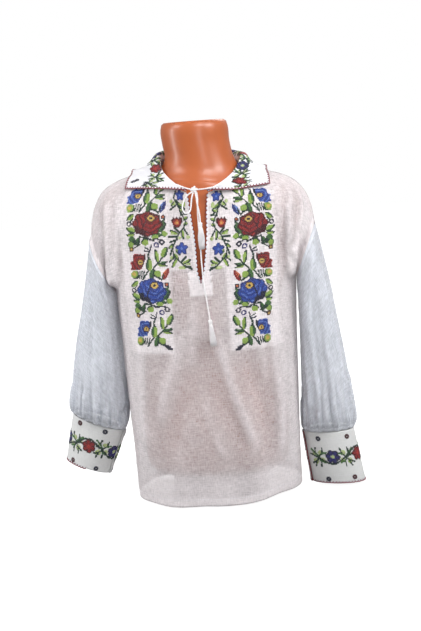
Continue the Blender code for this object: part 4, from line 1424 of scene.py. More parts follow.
    def shell(self, name: str, thickness: float, material: Material, slot_name: str, node: str) -> Piece:
        """Makes the thin closed shell.

        Args:
            name: the piece's name.
            thickness: the cloth's thickness.
            material: its finish.
            slot_name: the record's slot of the finish.
            node: the plain solid that it stands for.

        Returns:
            The piece.
        """
        outer = self.points.reshape(-1, 3)
        inner = outer - self.normals.reshape(-1, 3) * thickness
        quads = self.cells()
        count = len(outer)
        directed = {edge for quad in quads for edge in edges_of(quad)}
        rim = [(b, a, a + count, b + count) for a, b in directed if (b, a) not in directed]
        faces = quads + [tuple(corner + count for corner in reversed(quad)) for quad in quads] + rim
        used = np.unique([corner for face in faces for corner in face])
        renumber = np.full(2 * count, -1)
        renumber[used] = np.arange(len(used))
        maker = MeshMaker(name)
        maker.add(np.concatenate([outer, inner])[used], [tuple(renumber[list(face)]) for face in faces])
        piece = maker.finish([material], slot_name, node)
        flat_map = np.stack([self.across.ravel(), self.along.ravel()], axis=1)
        flat_map = np.concatenate([flat_map, flat_map])[used] * METRES
        mesh = piece.data
        corners = np.zeros(len(mesh.loops), np.int32)
        mesh.loops.foreach_get("vertex_index", corners)
        layer = mesh.uv_layers.new(name=CLOTH_MAP)
        layer.uv.foreach_set("vector", flat_map[corners].ravel())
        mask = mesh.attributes.new(COVER_AND_PAINTED_LIGHT_MASK, "FLOAT", "POINT")
        # The cover rises on crease ridges and falls in the troughs, a painted highlight and a painted shade along the
        # creases.
        single, crease_shade = COVER_AND_CREASE_SHADE
        cover = (single + (1 - single) * self.doubled + crease_shade * np.clip(self.lifted, -1.0, 4.0)).ravel()
        cover = np.concatenate([cover, cover])[used]
        mask.data.foreach_set("value", np.clip(cover, 0, 1).astype(np.float32))
        return piece

    def flat_tree(self) -> BVHTree:
        """The flat map as a surface that places can be looked up on.

        Returns:
            The surface.
        """
        flat = zip(self.across.ravel(), self.along.ravel())
        quads = self.cells()
        self.flat_faces = [(a, b, c) for a, b, c, _ in quads] + [(a, c, d) for a, _, c, d in quads]
        return BVHTree.FromPolygons([Vector((across, along, 0)) for across, along in flat], self.flat_faces)

    def place(self, tree: BVHTree, across: float, along: float) -> tuple[Grid, Grid, Grid, Grid] | None:
        """Where a place on the flat map lies on the cloth.

        Args:
            tree: the flat map's surface.
            across: the place across.
            along: the place along.

        Returns:
            The point, the step across, the step along and the normal, or nothing off the cloth.
        """
        hit, _, face, _ = tree.ray_cast(Vector((across, along, 5)), Vector((0, 0, -1)))
        if hit is None:
            return None
        corners = list(self.flat_faces[face])
        flat = np.stack([self.across.ravel()[corners], self.along.ravel()[corners]], axis=1)
        solid = self.points.reshape(-1, 3)[corners]
        steps = np.linalg.solve(flat[1:] - flat[0], solid[1:] - solid[0])
        shares = np.linalg.solve(np.concatenate([flat.T, np.ones((1, 3))]), [across, along, 1.0])
        normal = unit(shares @ self.normals.reshape(-1, 3)[corners])
        return shares @ solid, steps[0], steps[1], normal


# ---------------------------------------------------------------------------------------------------
# The form
# ---------------------------------------------------------------------------------------------------
@dataclass
class TorsoForm:
    """The glossy torso that the shirt is worn on, standing on its foot."""

    around: int = 32
    cell: float = 6.0
    points: Grid = field(init=False)

    def __post_init__(self) -> None:
        """Reads the solid's rings and draws them out fine."""
        source = self.read()
        wrapped = np.concatenate([source[:, -2:], source, source[:, :3]], axis=1)
        knots = running(np.linalg.norm(np.diff(wrapped, axis=1), axis=2).mean(axis=0))
        at, _ = finer_places(knots[2:-2], self.cell)
        wide = np.swapaxes(smooth_through(knots, np.swapaxes(wrapped, 0, 1), at[:-1]), 0, 1)
        down = down_rows(wide)
        at, _ = finer_places(down, self.cell)
        self.points = smooth_through(down, wide, at)

    def read(self) -> Grid:
        """The solid's rings from the lowest up, each starting at the same side.

        Returns:
            The rings.
        """
        mesh = bpy.data.objects["form_torso"].data
        found, number = merged_points(mesh)
        beside: list[set[int]] = [set() for _ in found]
        for edge in mesh.edges:
            first, second = (int(number[end]) for end in edge.vertices)
            beside[first].add(second)
            beside[second].add(first)
        rings, seen = [], set()
        level = set(np.flatnonzero(found[:, 2] < found[:, 2].min() + 0.1).tolist())
        while len(level) == self.around:
            ring = found[sorted(level)]
            centre = ring.mean(axis=0)
            rings.append(ring[np.argsort(np.arctan2(ring[:, 1] - centre[1], ring[:, 0] - centre[0]))])
            seen |= level
            level = set().union(*(beside[place] for place in level)) - seen
        return np.array(rings)

    def build(self, material: Material) -> Piece:
        """Makes the form's shell.

        Args:
            material: its finish.

        Returns:
            The object.
        """
        maker = MeshMaker("torso")
        maker.add(self.points.reshape(-1, 3), bar_faces(*self.points.shape[:2]))
        return maker.finish([material], "form_shell", "form_torso")

    def tree(self) -> BVHTree:
        """The form's surface, for clearing the cloth off it."""
        faces = ring_quads(*self.points.shape[:2])
        return BVHTree.FromPolygons([Vector(point) for point in self.points.reshape(-1, 3)], faces)


# ---------------------------------------------------------------------------------------------------
# Cross-stitch
# ---------------------------------------------------------------------------------------------------
@dataclass
class Chart:
    """A cross-stitch chart: a grid of squares, each empty or worked in one shade."""

    width: int
    height: int
    mirrored: bool = False
    squares: Grid = field(init=False)
    u: Grid = field(init=False)
    v: Grid = field(init=False)

    def __post_init__(self) -> None:
        """Starts with every square empty."""
        self.squares = np.full((self.height, self.width), -1)
        self.begin(0.0)

    def begin(self, top: float) -> None:
        """Counts the places across and down from a row of the chart."""
        v, u = np.mgrid[0 : self.height, 0 : self.width]
        self.u, self.v = u + 0.5, v + 0.5 - top

    def far(self, centre: Place, squash: float = 1.0) -> Grid:
        """How far each square lies from a place, counting what is above or below it by a share."""
        return np.hypot(self.u - centre[0], (self.v - centre[1]) * squash)

    def paint(self, mask: Grid, shade: Floss | None) -> None:
        """Works every square under a mask in one shade, or empties it where there is none."""
        self.squares[mask] = -1 if shade is None else shade.number

    def line(self, points: Sequence[Place], shade: Floss, width: float = 1.4) -> None:
        """Works a line of squares.

        Args:
            points: where it runs.
            shade: its shade.
            width: how wide it is, in squares.
        """
        for (u0, v0), (u1, v1) in zip(points[:-1], points[1:]):
            du, dv = u1 - u0, v1 - v0
            at = np.clip(((self.u - u0) * du + (self.v - v0) * dv) / max(du * du + dv * dv, 1e-9), 0, 1)
            self.paint(np.hypot(self.u - u0 - at * du, self.v - v0 - at * dv) < width / 2, shade)

    def leaf(self, base: Place, tip: Place, width: float, shades: Sequence[Floss], side: int = 1) -> None:
        """Works a pointed leaf, light on one side of its rib and dark on the other.

        Args:
            base: where it grows from.
            tip: its point.
            width: its width in squares.
            shades: the light, middle and dark shades.
            side: 1 or -1, the side that is dark.
        """
        du, dv = tip[0] - base[0], tip[1] - base[1]
        length = math.hypot(du, dv)
        at = ((self.u - base[0]) * du + (self.v - base[1]) * dv) / length**2
        off = ((self.u - base[0]) * dv - (self.v - base[1]) * du) / length * side
        half = width / 2 * np.sin(math.pi * np.clip(at, 0, 1) ** 0.85) ** 0.6
        leaf = (at > -0.03) & (at < 1.03) & (np.abs(off) < half + 0.12)
        self.paint(leaf, shades[0])
        self.paint(leaf & (off > 0.1 * width), shades[1])
        self.paint(leaf & ((off > half - 0.85) | (at > 0.84)), shades[2])

    def ball(self, centre: Place, radii: Place, shades: Sequence[Floss], shaded_at: float = 45) -> None:
        """Works a round berry with a dark crescent.

        Args:
            centre: its middle.
            radii: its reach across and down.
            shades: its light and dark shades.
            shaded_at: the direction of the crescent, in degrees down from the right.
        """
        u, v = (self.u - centre[0]) / radii[0], (self.v - centre[1]) / radii[1]
        inside = np.hypot(u, v) < 1
        turn = math.radians(shaded_at)
        crescent = np.hypot(u + 0.42 * math.cos(turn), v + 0.42 * math.sin(turn)) > 1.02
        self.paint(inside, shades[0])
        self.paint(inside & crescent, shades[1])

    def eyelet(self, centre: Place, radius: float, shade: Floss, core: Floss | None = None) -> None:
        """Works a small ring of a shade round a core, which may be bare cloth.

        Args:
            centre: its place.
            radius: its size.
            shade: the ring's floss.
            core: the floss inside it.
        """
        far = self.far(centre)
        self.paint(far < radius, shade)
        self.paint(far < radius - 1.15, core)

    def gold_eye(self, centre: Place, radius: float) -> None:
        """Works a gold ring with a dark core and rim.

        Args:
            centre: its place.
            radius: its size.
        """
        far = self.far(centre, 1.1)
        for reach, shade in ((radius + 0.85, Floss.WINE), (radius, Floss.GOLD), (radius * 0.42, Floss.NAVY)):
            self.paint(far < reach, shade)

    def rose(self, centre: Place, radii: Place, shades: Sequence[Floss], eye: Place) -> None:
        """Works a full rose: scalloped petals curled round an eye.

        Args:
            centre: its middle.
            radii: its reach across and down.
            shades: its darkest, dark, middle and light shades.
            eye: where its gold eye lies.
        """
        darkest, dark, middle, light = shades
        u, v = (self.u - centre[0]) / radii[0], (self.v - centre[1]) / radii[1]
        edge = 0.95 + 0.055 * np.cos(8 * np.arctan2(v, u) + 0.6)
        far = np.hypot(u, v) / edge
        inside = far < 1
        self.paint(inside, middle)
        eye_u, eye_v = (self.u - eye[0]) / radii[0], (self.v - eye[1]) / radii[1]
        turn, reach = np.arctan2(eye_v, eye_u), np.hypot(eye_u, eye_v)
        curl = reach * 3.1 + 0.22 * np.sin(3 * turn + 0.8) + 0.12 * np.sin(7 * turn)
        band = curl % 1.0
        glint = (band > 0.52) & (band < 0.74) & (np.sin(5 * turn + 4 * curl) > -0.1)
        wedge = (u > 0.02 + 0.3 * (1 - v)) & (v > 0.1) & (far > 0.62)
        cleft = (np.abs(u - 0.16 - 0.12 * np.sin(4 * v)) < 0.05) & (v > -0.45) & (v < 0.85)
        self.paint(inside & (band < 0.26) & (reach > 0.3), dark)
        self.paint(inside & glint, light)
        self.paint(inside & (far > 0.9), dark)
        self.paint(inside & (wedge | cleft), darkest)
        self.gold_eye(eye, 3.3)

    def outline(self, corners: Sequence[Place]) -> Grid:
        """The squares inside a drawn outline, as a mask.

        Args:
            corners: the places that it goes through.

        Returns:
            The places along the outline.
        """
        inside = np.zeros(self.squares.shape, bool)
        for (u0, v0), (u1, v1) in zip(corners, [*corners[1:], corners[0]]):
            crosses = (v0 > self.v) != (v1 > self.v)
            reach = u0 + (self.v - v0) * (u1 - u0) / (v1 - v0 if v1 != v0 else 1e-9)
            inside ^= crosses & (self.u < reach)
        return inside

    def stitches(self) -> tuple[Grid, Grid, Grid]:
        """The worked squares: their places across and down, and their shades.

        Returns:
            The stitches.
        """
        squares = self.squares[:, ::-1] if self.mirrored else self.squares
        v, u = np.nonzero(squares >= 0)
        return u + 0.5, v + 0.5, squares[v, u]


STEM = Floss.GREEN_DEEP
LEAF = (Floss.LIME, Floss.GREEN, STEM)
DARK_LEAF = (Floss.GREEN, STEM, STEM)
BERRY = (Floss.LIME, STEM)
GREEN_BERRY = (Floss.LIME, Floss.GREEN)
PALE_BERRY = (Floss.LIME_PALE, Floss.LIME)
REDS = (Floss.WINE, Floss.WINE, Floss.RED, Floss.RED_BRIGHT)
BLUES = (Floss.NAVY, Floss.BLUE_DEEP, Floss.BLUE, Floss.BLUE_PALE)


@dataclass
class RoseBorder:
    """The wide border down each side of the slit: half roses, buds and full roses in turn."""

    repeat: float = 66.7
    width: int = 43
    height: int = 164

    def chart(self, mirrored: bool) -> Chart:
        """Charts the whole border.

        Args:
            mirrored: whether it is worked the other way round.

        Returns:
            The chart.
        """
        chart = Chart(self.width, self.height, mirrored)
        self.sprig_and_half_rose(chart, BLUES, (Floss.BLUE_PALE, Floss.BLUE_DEEP))
        self.full_rose(chart, REDS)
        chart.begin(self.repeat)
        self.sprig_and_half_rose(chart, REDS, (Floss.ORANGE, Floss.RED))
        self.full_rose(chart, BLUES)
        chart.begin(2 * self.repeat)
        self.sprig_and_half_rose(chart, BLUES, None)
        chart.line(((7, 27), (11.5, 25)), Floss.NAVY, 2.4)
        chart.line(((4.5, 28.5), (9, 28.5)), Floss.NAVY, 1.4)
        return chart

    @staticmethod
    def sprig_and_half_rose(chart: Chart, half: Sequence[Floss], bud: Sequence[Floss] | None) -> None:
        """Charts a repeat's upper half: the sprig, the half rose, the berries and the bud.

        Args:
            chart: the chart.
            half: the half rose's shades.
            bud: the bud's light and dark shades, or nothing for no bud.
        """
        darkest, dark, middle, light = half
        chart.line(((7.5, 2), (12, 9), (17, 14), (20, 20)), STEM, 1.4)
        chart.line(((21.5, -1), (22.3, 3), (21, 8)), STEM, 1.3)
        chart.leaf((8.6, 4.5), (3.9, -6), 5.4, LEAF, 1)
        chart.leaf((13.3, 9), (15, -4), 4.4, LEAF, -1)
        chart.leaf((13.5, 11.5), (4, 8.6), 3.2, DARK_LEAF, 1)
        chart.leaf((13.5, 11.5), (4.2, 13), 2.6, LEAF, -1)
        chart.leaf((22, 17.5), (21.6, 4.6), 6.0, LEAF, -1)
        rose = chart.outline((
            (24.8, -0.6), (26.9, 1.9), (29.4, 0.2), (31.6, 1.2), (33.7, 0.0), (36.9, 0.8), (38.5, 3.4),
            (38.0, 6.6), (40.8, 8.6), (40.0, 12.4), (41.3, 16.4), (34.8, 16.6), (29.6, 15.4), (27.2, 10.2),
            (25.2, 5.4),
        ))
        turn = np.arctan2(chart.v - 8.7, chart.u - 30.5)
        petals = (chart.far((30.5, 8.7)) * 0.27 + 0.2 * np.sin(3 * turn)) % 1.0
        chart.paint(rose, middle)
        chart.paint(rose & (petals < 0.24), dark)
        chart.paint(rose & (np.abs(petals - 0.62) < 0.1), light)
        chart.paint(rose & (chart.u < 27.4) & (chart.v > 1), darkest)
        chart.gold_eye((30.5, 8.8), 2.5)
        for u in (27.6, 29.8, 32.0):
            chart.line(((u - 0.8, 17.6), (u + 0.6, 24.4)), STEM, 1.15)
        chart.line(((22.5, 17), (26, 22), (29, 26)), STEM, 1.4)
        chart.ball((36.8, 21.2), (4.3, 4.3), BERRY, 150)
        chart.paint(chart.far((37.6, 20.6)) < 2.1, Floss.GOLD)
        chart.leaf((20.5, 26), (17.5, 14.5), 5.0, DARK_LEAF, 1)
        chart.ball((14.2, 20.9), (3.7, 3.7), BERRY, 60)
        chart.line(((10.5, 26.5), (13, 24.6)), STEM, 1.6)
        if bud is not None:
            chart.leaf((9.6, 26.4), (3.4, 15.4), 5.0, (bud[0], bud[1], bud[1]), 1)
            chart.line(((4.8, 17.6), (8.6, 24.4)), bud[1], 0.9)
            chart.line(((8.2, 21), (10.6, 27)), STEM, 1.3)

    @staticmethod
    def full_rose(chart: Chart, shades: Sequence[Floss]) -> None:
        """Charts a repeat's lower half: the full rose and the foliage about it.

        Args:
            chart: the chart.
            shades: the full rose's shades.
        """
        chart.leaf((10, 46), (3.8, 36.5), 5.4, DARK_LEAF, 1)
        chart.leaf((9, 40), (4.5, 33), 3.2, DARK_LEAF, -1)
        chart.leaf((34, 27.5), (41.6, 33), 4.2, LEAF, 1)
        chart.leaf((33.5, 45), (42.6, 40.5), 5.6, LEAF, -1)
        chart.leaf((34.5, 47.5), (42.4, 47.6), 3.6, LEAF, 1)
        chart.leaf((14, 47), (8, 50), 4.0, DARK_LEAF, 1)
        chart.ball((5.3, 47.8), (2.9, 2.9), GREEN_BERRY, 30)
        chart.ball((14.4, 50.4), (3.2, 3.0), GREEN_BERRY, -60)
        chart.line(((16, 54), (22, 51.5), (29, 50)), STEM, 1.6)
        chart.ball((24.2, 55.4), (3.6, 3.3), BERRY, -60)
        chart.leaf((33.5, 58), (29.5, 50.5), 4.6, DARK_LEAF, 1)
        chart.ball((37.6, 52.2), (3.2, 2.9), (Floss.GREEN, STEM), 90)
        chart.ball((34.8, 55.4), (2.4, 2.4), (STEM, STEM), 90)
        chart.ball((39.3, 57.2), (3.0, 3.0), GREEN_BERRY, 0)
        chart.line(((30, 57.5), (34, 60), (37, 61.5)), STEM, 1.3)
        chart.eyelet((38.9, 62.0), 2.3, Floss.WINE, Floss.GOLD)
        chart.eyelet((6.0, 31.2), 2.2, Floss.NAVY, Floss.ORANGE)
        chart.rose((21.4, 37.6), (15.2, 13.0), shades, (17.6, 32.0))
        chart.eyelet((39.6, 36.6), 2.5, Floss.NAVY)
        chart.line(((35.5, 32), (38.5, 35)), STEM, 1.1)
        chart.eyelet((8.0, 56.0), 2.6, Floss.NAVY)
        chart.eyelet((13.4, 58.8), 2.6, Floss.VIOLET)
        for points, shade in (
            (((9.5, 53.4), (13.5, 52.6), (19, 53.8)), Floss.NAVY),
            (((18.6, 59), (20, 63.5), (21, 66)), Floss.NAVY),
            (((21.5, 62.5), (24.5, 61)), STEM),
            (((21.5, 65), (25.5, 64)), Floss.NAVY),
        ):
            chart.line(points, shade, 1.2)


@dataclass
class SlitVine:
    """The narrow vine beside the slit, with a blue, a red and a blue flower."""

    width: int = 23
    height: int = 86
    stretch: float = 1.12
    sprays: tuple[tuple[Place, Place], ...] = (
        ((13, 12), (8, 17)), ((11, 16), (4, 19)), ((11, 18), (5, 24)), ((13, 13), (19, 17)),
        ((12, 16), (20, 21)), ((9, 24), (3, 21)), ((8, 27), (1.5, 26)), ((6, 32), (0.5, 30)),
        ((6, 41), (2, 48)), ((8, 43), (7, 51)), ((11, 45), (16, 40)), ((12, 47), (20, 43)),
        ((14, 49), (21, 49)), ((17, 56), (22, 60)), ((18, 58), (21, 66)), ((19, 66), (14, 71)),
        ((17, 69), (22.5, 74)), ((15, 71), (20, 79)), ((11, 75), (6, 70)), ((9, 77), (2, 73)),
        ((7, 79), (1, 82)), ((6, 37), (1, 36)), ((14, 52), (20, 54)), ((16, 62), (12, 67)),
    )
    berries: tuple[tuple[Place, Place], ...] = (
        ((3, 16), (2.2, 3.4)), ((20, 13), (1.6, 2.4)), ((2, 50), (1.6, 2.6)), ((10, 80.5), (4, 1.6)),
        ((8, 22.5), (1.4, 1.4)), ((18, 46), (2.2, 1.3)), ((11, 50.5), (1.8, 1.8)), ((20.5, 70), (1.5, 2)),
        ((4, 77), (2.2, 1.3)), ((15, 14.5), (1.5, 1.2)),
    )
    stem: tuple[Place, ...] = (
        (12, 1), (16, 9), (15, 12), (10, 18.4), (8.5, 25), (5, 30.5), (3, 34), (5, 39), (12.5, 47.5),
        (17.4, 57), (19.4, 62), (17.5, 68), (13.7, 73), (7, 80), (1, 80),
    )
    tulip_head: tuple[Place, ...] = (
        (-6.4, -4), (-3.4, -5.8), (-1.6, -3.6), (0, -5.6), (2.2, -3.8), (4.4, -5.6), (6.6, -2.4), (5, 1),
        (3.4, 4.8), (-1, 5.6), (-3.8, 2.6), (-6.2, 0),
    )

    def chart(self, mirrored: bool) -> Chart:
        """Charts the vine.

        Args:
            mirrored: whether it is worked the other way round.

        Returns:
            The chart.
        """
        chart = Chart(self.width, self.height, mirrored)
        for number, (base, tip) in enumerate(self.sprays):
            tip = tuple(start + self.stretch * (end - start) for start, end in zip(base, tip))
            if number % 2:
                chart.leaf(base, tip, 3.0, LEAF, 1)
            else:
                chart.line((base, tip), STEM, 1.7)
        for centre, radii in self.berries:
            chart.ball(centre, radii, PALE_BERRY, 200)
        chart.line(self.stem, STEM, 1.35)
        self.star(chart, (7.0, 6.6), 5.8)
        self.tulip(chart, (13.2, 34.8))
        self.star(chart, (9.4, 61.4), 6.2)
        return chart

    @staticmethod
    def star(chart: Chart, centre: Place, reach: float) -> None:
        """Charts a five-petalled blue flower.

        Args:
            chart: the chart.
            centre: its middle.
            reach: how far its petals go.
        """
        turn = np.arctan2(chart.v - centre[1], chart.u - centre[0]) + math.pi / 2
        far = chart.far(centre) / reach
        petal = np.abs(np.cos(2.5 * turn))
        edge = 0.62 + 0.42 * petal
        chart.paint(far < edge, Floss.BLUE)
        chart.paint((far < edge) & ((petal < 0.35) | (far > edge - 0.18)), Floss.BLUE_DEEP)
        chart.paint(far < 0.2, Floss.BLUE_PALE)

    def tulip(self, chart: Chart, centre: Place) -> None:
        """Charts the red flower with its orange heart.

        Args:
            chart: the chart.
            centre: its middle.
        """
        head = chart.outline([(centre[0] + across, centre[1] + down) for across, down in self.tulip_head])
        far = chart.far(centre, 1.1)
        fold = np.abs(chart.u - centre[0] - 0.6 * (chart.v - centre[1])) < 0.8
        chart.paint(head, Floss.RED)
        chart.paint(head & ((far > 4.6) | fold & (far > 2)), Floss.WINE)
        chart.paint(far < 2.7, Floss.ORANGE)
        chart.paint(far < 1.3, Floss.GOLD)


@dataclass
class BandVine:
    """The vine of the collar and cuffs: it winds over each red flower and under each blue one."""

    flowers: tuple[tuple[float, str], ...]
    length: float
    rows: int
    middle: float
    rings: tuple[tuple[float, float, Floss], ...] = ()
    swing: float = 8.0
    tufts: tuple[tuple[float, float], ...] = ()
    petal_ring: float = 4.6
    buds: tuple[tuple[float, float], ...] = ((2.9, 55), (2.6, 238), (2.2, 150), (1.8, -30))
    branches: tuple[tuple[Place, ...], ...] = (
        ((0, -1), (3.4, -5), (7, -8)), ((3, -4.6), (2.2, -9.4)), ((0.5, 0), (6.4, -2.2)),
        ((0, 0), (-4.4, -4), (-5.6, -9.4)), ((-4, -3.6), (-8.6, -4.6)), ((0, 1), (2.8, 5), (4.4, 10)),
        ((2.6, 4.4), (7.6, 6.6)), ((0, 1), (-2.2, 4.6), (-2, 10)), ((-2, 4), (-6.6, 5.6)),
    )

    def chart(self) -> Chart:
        """Charts the vine, its sprigs, flowers and rings.

        Returns:
            The chart.
        """
        chart = Chart(math.ceil(self.length), self.rows)
        first, last = self.flowers[0][0], self.flowers[-1][0]
        points = [(first - 24, self.middle - 3), (first - 15, self.middle)]
        following = [place for place, _ in self.flowers[1:]] + [last + 27]
        for (place, kind), beyond in zip(self.flowers, following):
            over = -1 if kind == "red" else 1
            points += [
                (place - 5, self.middle + over * self.swing * 0.86),
                (place + 1, self.middle + over * self.swing),
                (place + (beyond - place) / 2, self.middle + over),
            ]
        for number, (u, v) in enumerate(points[1::3] + list(self.tufts)):
            self.sprig(chart, u, v, 1 if number % 2 else -1)
        chart.line(points, STEM, 1.7)
        red, blue = (Floss.WINE, Floss.RED, Floss.RED_BRIGHT), (Floss.NAVY, Floss.VIOLET, Floss.LIME_PALE)
        for place, kind in self.flowers:
            self.blossom(chart, (place, self.middle), red if kind == "red" else blue)
        for place, row, shade in self.rings:
            far = chart.far((math.floor(place) + 0.5, math.floor(row) + 0.5))
            chart.paint(far < 2.6, shade)
            chart.paint(far < 0.6, None)
        return chart

    def sprig(self, chart: Chart, u: float, v: float, way: int) -> None:
        """Charts a forked sprig.

        Args:
            chart: the chart.
            u: how far across the point lies that it spreads from.
            v: how far down that point lies.
            way: 1 or -1, how it leans.
        """
        for reach, angle in self.buds:
            turn = math.radians(angle)
            centre = (u + 5.4 * math.cos(turn) * way, v + 5.4 * math.sin(turn))
            chart.ball(centre, (reach, reach), PALE_BERRY, 120)
        for number, branch in enumerate(self.branches):
            points = [(u + way * across, v + down) for across, down in branch]
            shade = Floss.GREEN if number % 4 == 0 else STEM
            chart.line(points, shade, 1.5 if number % 2 else 1.9)

    def blossom(self, chart: Chart, centre: Place, shades: Sequence[Floss]) -> None:
        """Charts one flower of six round petals.

        Args:
            chart: the chart.
            centre: its middle.
            shades: its edge, petal and heart shades.
        """
        edge, petals, heart = shades
        for petal in range(6):
            turn = math.radians(60 * petal + 12)
            across, down = self.petal_ring * math.cos(turn), self.petal_ring * math.sin(turn)
            far = chart.far((centre[0] + across, centre[1] + down))
            chart.paint(far < 3.0, edge)
            chart.paint(far < 1.9, petals)
        chart.paint(chart.far(centre) < 3.3, petals)
        chart.paint(chart.far(centre) < 1.9, heart)


@dataclass
class Needlework:
    """Works charts on a cloth, each stitch two crossing arms of floss."""

    pitch: float = 1.62
    arm: float = 1.04
    height: float = 0.5
    seed: int = 21
    crossing: float = 0.12
    unevenness: float = 0.05

    def arm_points(self, direction: int, over: float) -> Grid:
        """One arm's points as shares of the square and height.

        Args:
            direction: 1 or -1, the diagonal it follows.
            over: how much higher it lies than the first arm.

        Returns:
            Its eight points.
        """
        reach = 0.52 * self.pitch
        half = self.arm / 2 / math.sqrt(2)
        points = [(-reach, -reach, -0.08), (reach, reach, -0.08)]
        for middle in (-0.42 * self.pitch, 0.42 * self.pitch):
            for across, height in ((-half, 0.1), (0.0, self.height), (half, 0.1)):
                points.append((middle + across, middle - across, height + over))
        return np.array(points) * [1, direction, 1]

    def work(
        self, name: str, cloth: Cloth, tree: BVHTree, jobs: Sequence[tuple[Chart, Callable]], slot_name: str
    ) -> Piece:
        """Works charts on one cloth.

        Args:
            name: the piece's name.
            cloth: the cloth.
            tree: the cloth's flat map.
            jobs: each chart with the function that turns its squares into places on the flat map.
            slot_name: the record's slot of the cloth.

        Returns:
            The stitches as one object.
        """
        random = np.random.default_rng(self.seed)
        arms = np.concatenate([self.arm_points(1, 0.0), self.arm_points(-1, self.crossing)])
        points, shades = [], []
        for chart, to_map in jobs:
            for u, v, shade in zip(*chart.stitches()):
                spot = cloth.place(tree, *to_map(u, v))
                if spot is None:
                    continue
                place, side, up, normal = spot
                arm = arms + random.normal(0, self.unevenness, 3) * [1, 1, 0.6]
                points.append(place + arm[:, :1] * side + arm[:, 1:2] * up + arm[:, 2:] * normal)
                shades.append(int(shade))
        ends = [(0, 2, 3), (0, 3, 4), (0, 4, 2), (1, 6, 5), (1, 7, 6), (1, 5, 7)]
        sides = [(2, 5, 3), (3, 5, 6), (3, 6, 4), (4, 6, 7), (4, 7, 2), (2, 7, 5)]
        first = np.array(ends + sides)
        stitch = np.concatenate([first, first[:, ::-1] + 8])
        triangles = (stitch[None] + 16 * np.arange(len(points))[:, None, None]).reshape(-1, 3)
        flat = np.concatenate(points) * METRES
        corners = flat[first]
        faced = np.cross(corners[:, 1] - corners[:, 0], corners[:, 2] - corners[:, 0])
        if np.sum(faced * (corners.mean(axis=1) - flat[:8].mean(axis=0))) < 0:
            triangles = triangles[:, ::-1]
        mesh = bpy.data.meshes.new(name)
        mesh.vertices.add(len(flat))
        mesh.vertices.foreach_set("co", flat.ravel())
        mesh.loops.add(triangles.size)
        mesh.loops.foreach_set("vertex_index", triangles.ravel().astype(np.int32))
        mesh.polygons.add(len(triangles))
        mesh.polygons.foreach_set("loop_start", np.arange(0, triangles.size, 3, dtype=np.int32))
        used = sorted(set(shades))
        for shade in used:
            mesh.materials.append(FLOSSES[shade])
        slots = np.repeat([used.index(shade) for shade in shades], len(stitch))
        mesh.polygons.foreach_set("material_index", slots.astype(np.int32))
        mesh.polygons.foreach_set("use_smooth", np.full(len(triangles), True))
        mesh.update(calc_edges=True)
        mesh.validate()
        return new_piece(name, mesh, slot_name)


def between_lines(edges: Sequence[Place], rows: Place, width: int) -> Callable:
    """Places for a border that hangs from a top and lies between two lines on the map.

    Args:
        edges: places as (along, left edge across, right edge across), from the top down.
        rows: the place along of the border's first row, and how far a row drops.
        width: the border's width in squares.

    Returns:
        A function from a square to a place.
    """
    knots = np.array(edges, float)[::-1]

    def to_map(u: float, v: float) -> tuple[float, float]:
        """The place of a square on the flat map.

        Args:
            u: the place across the chart.
            v: the place along it.

        Returns:
            The place on the flat map.
        """
        along = rows[0] - v * rows[1]
        left, right = (float(np.interp(along, knots[:, 0], knots[:, side])) for side in (1, 2))
        return left + (right - left) * u / width, along

    return to_map


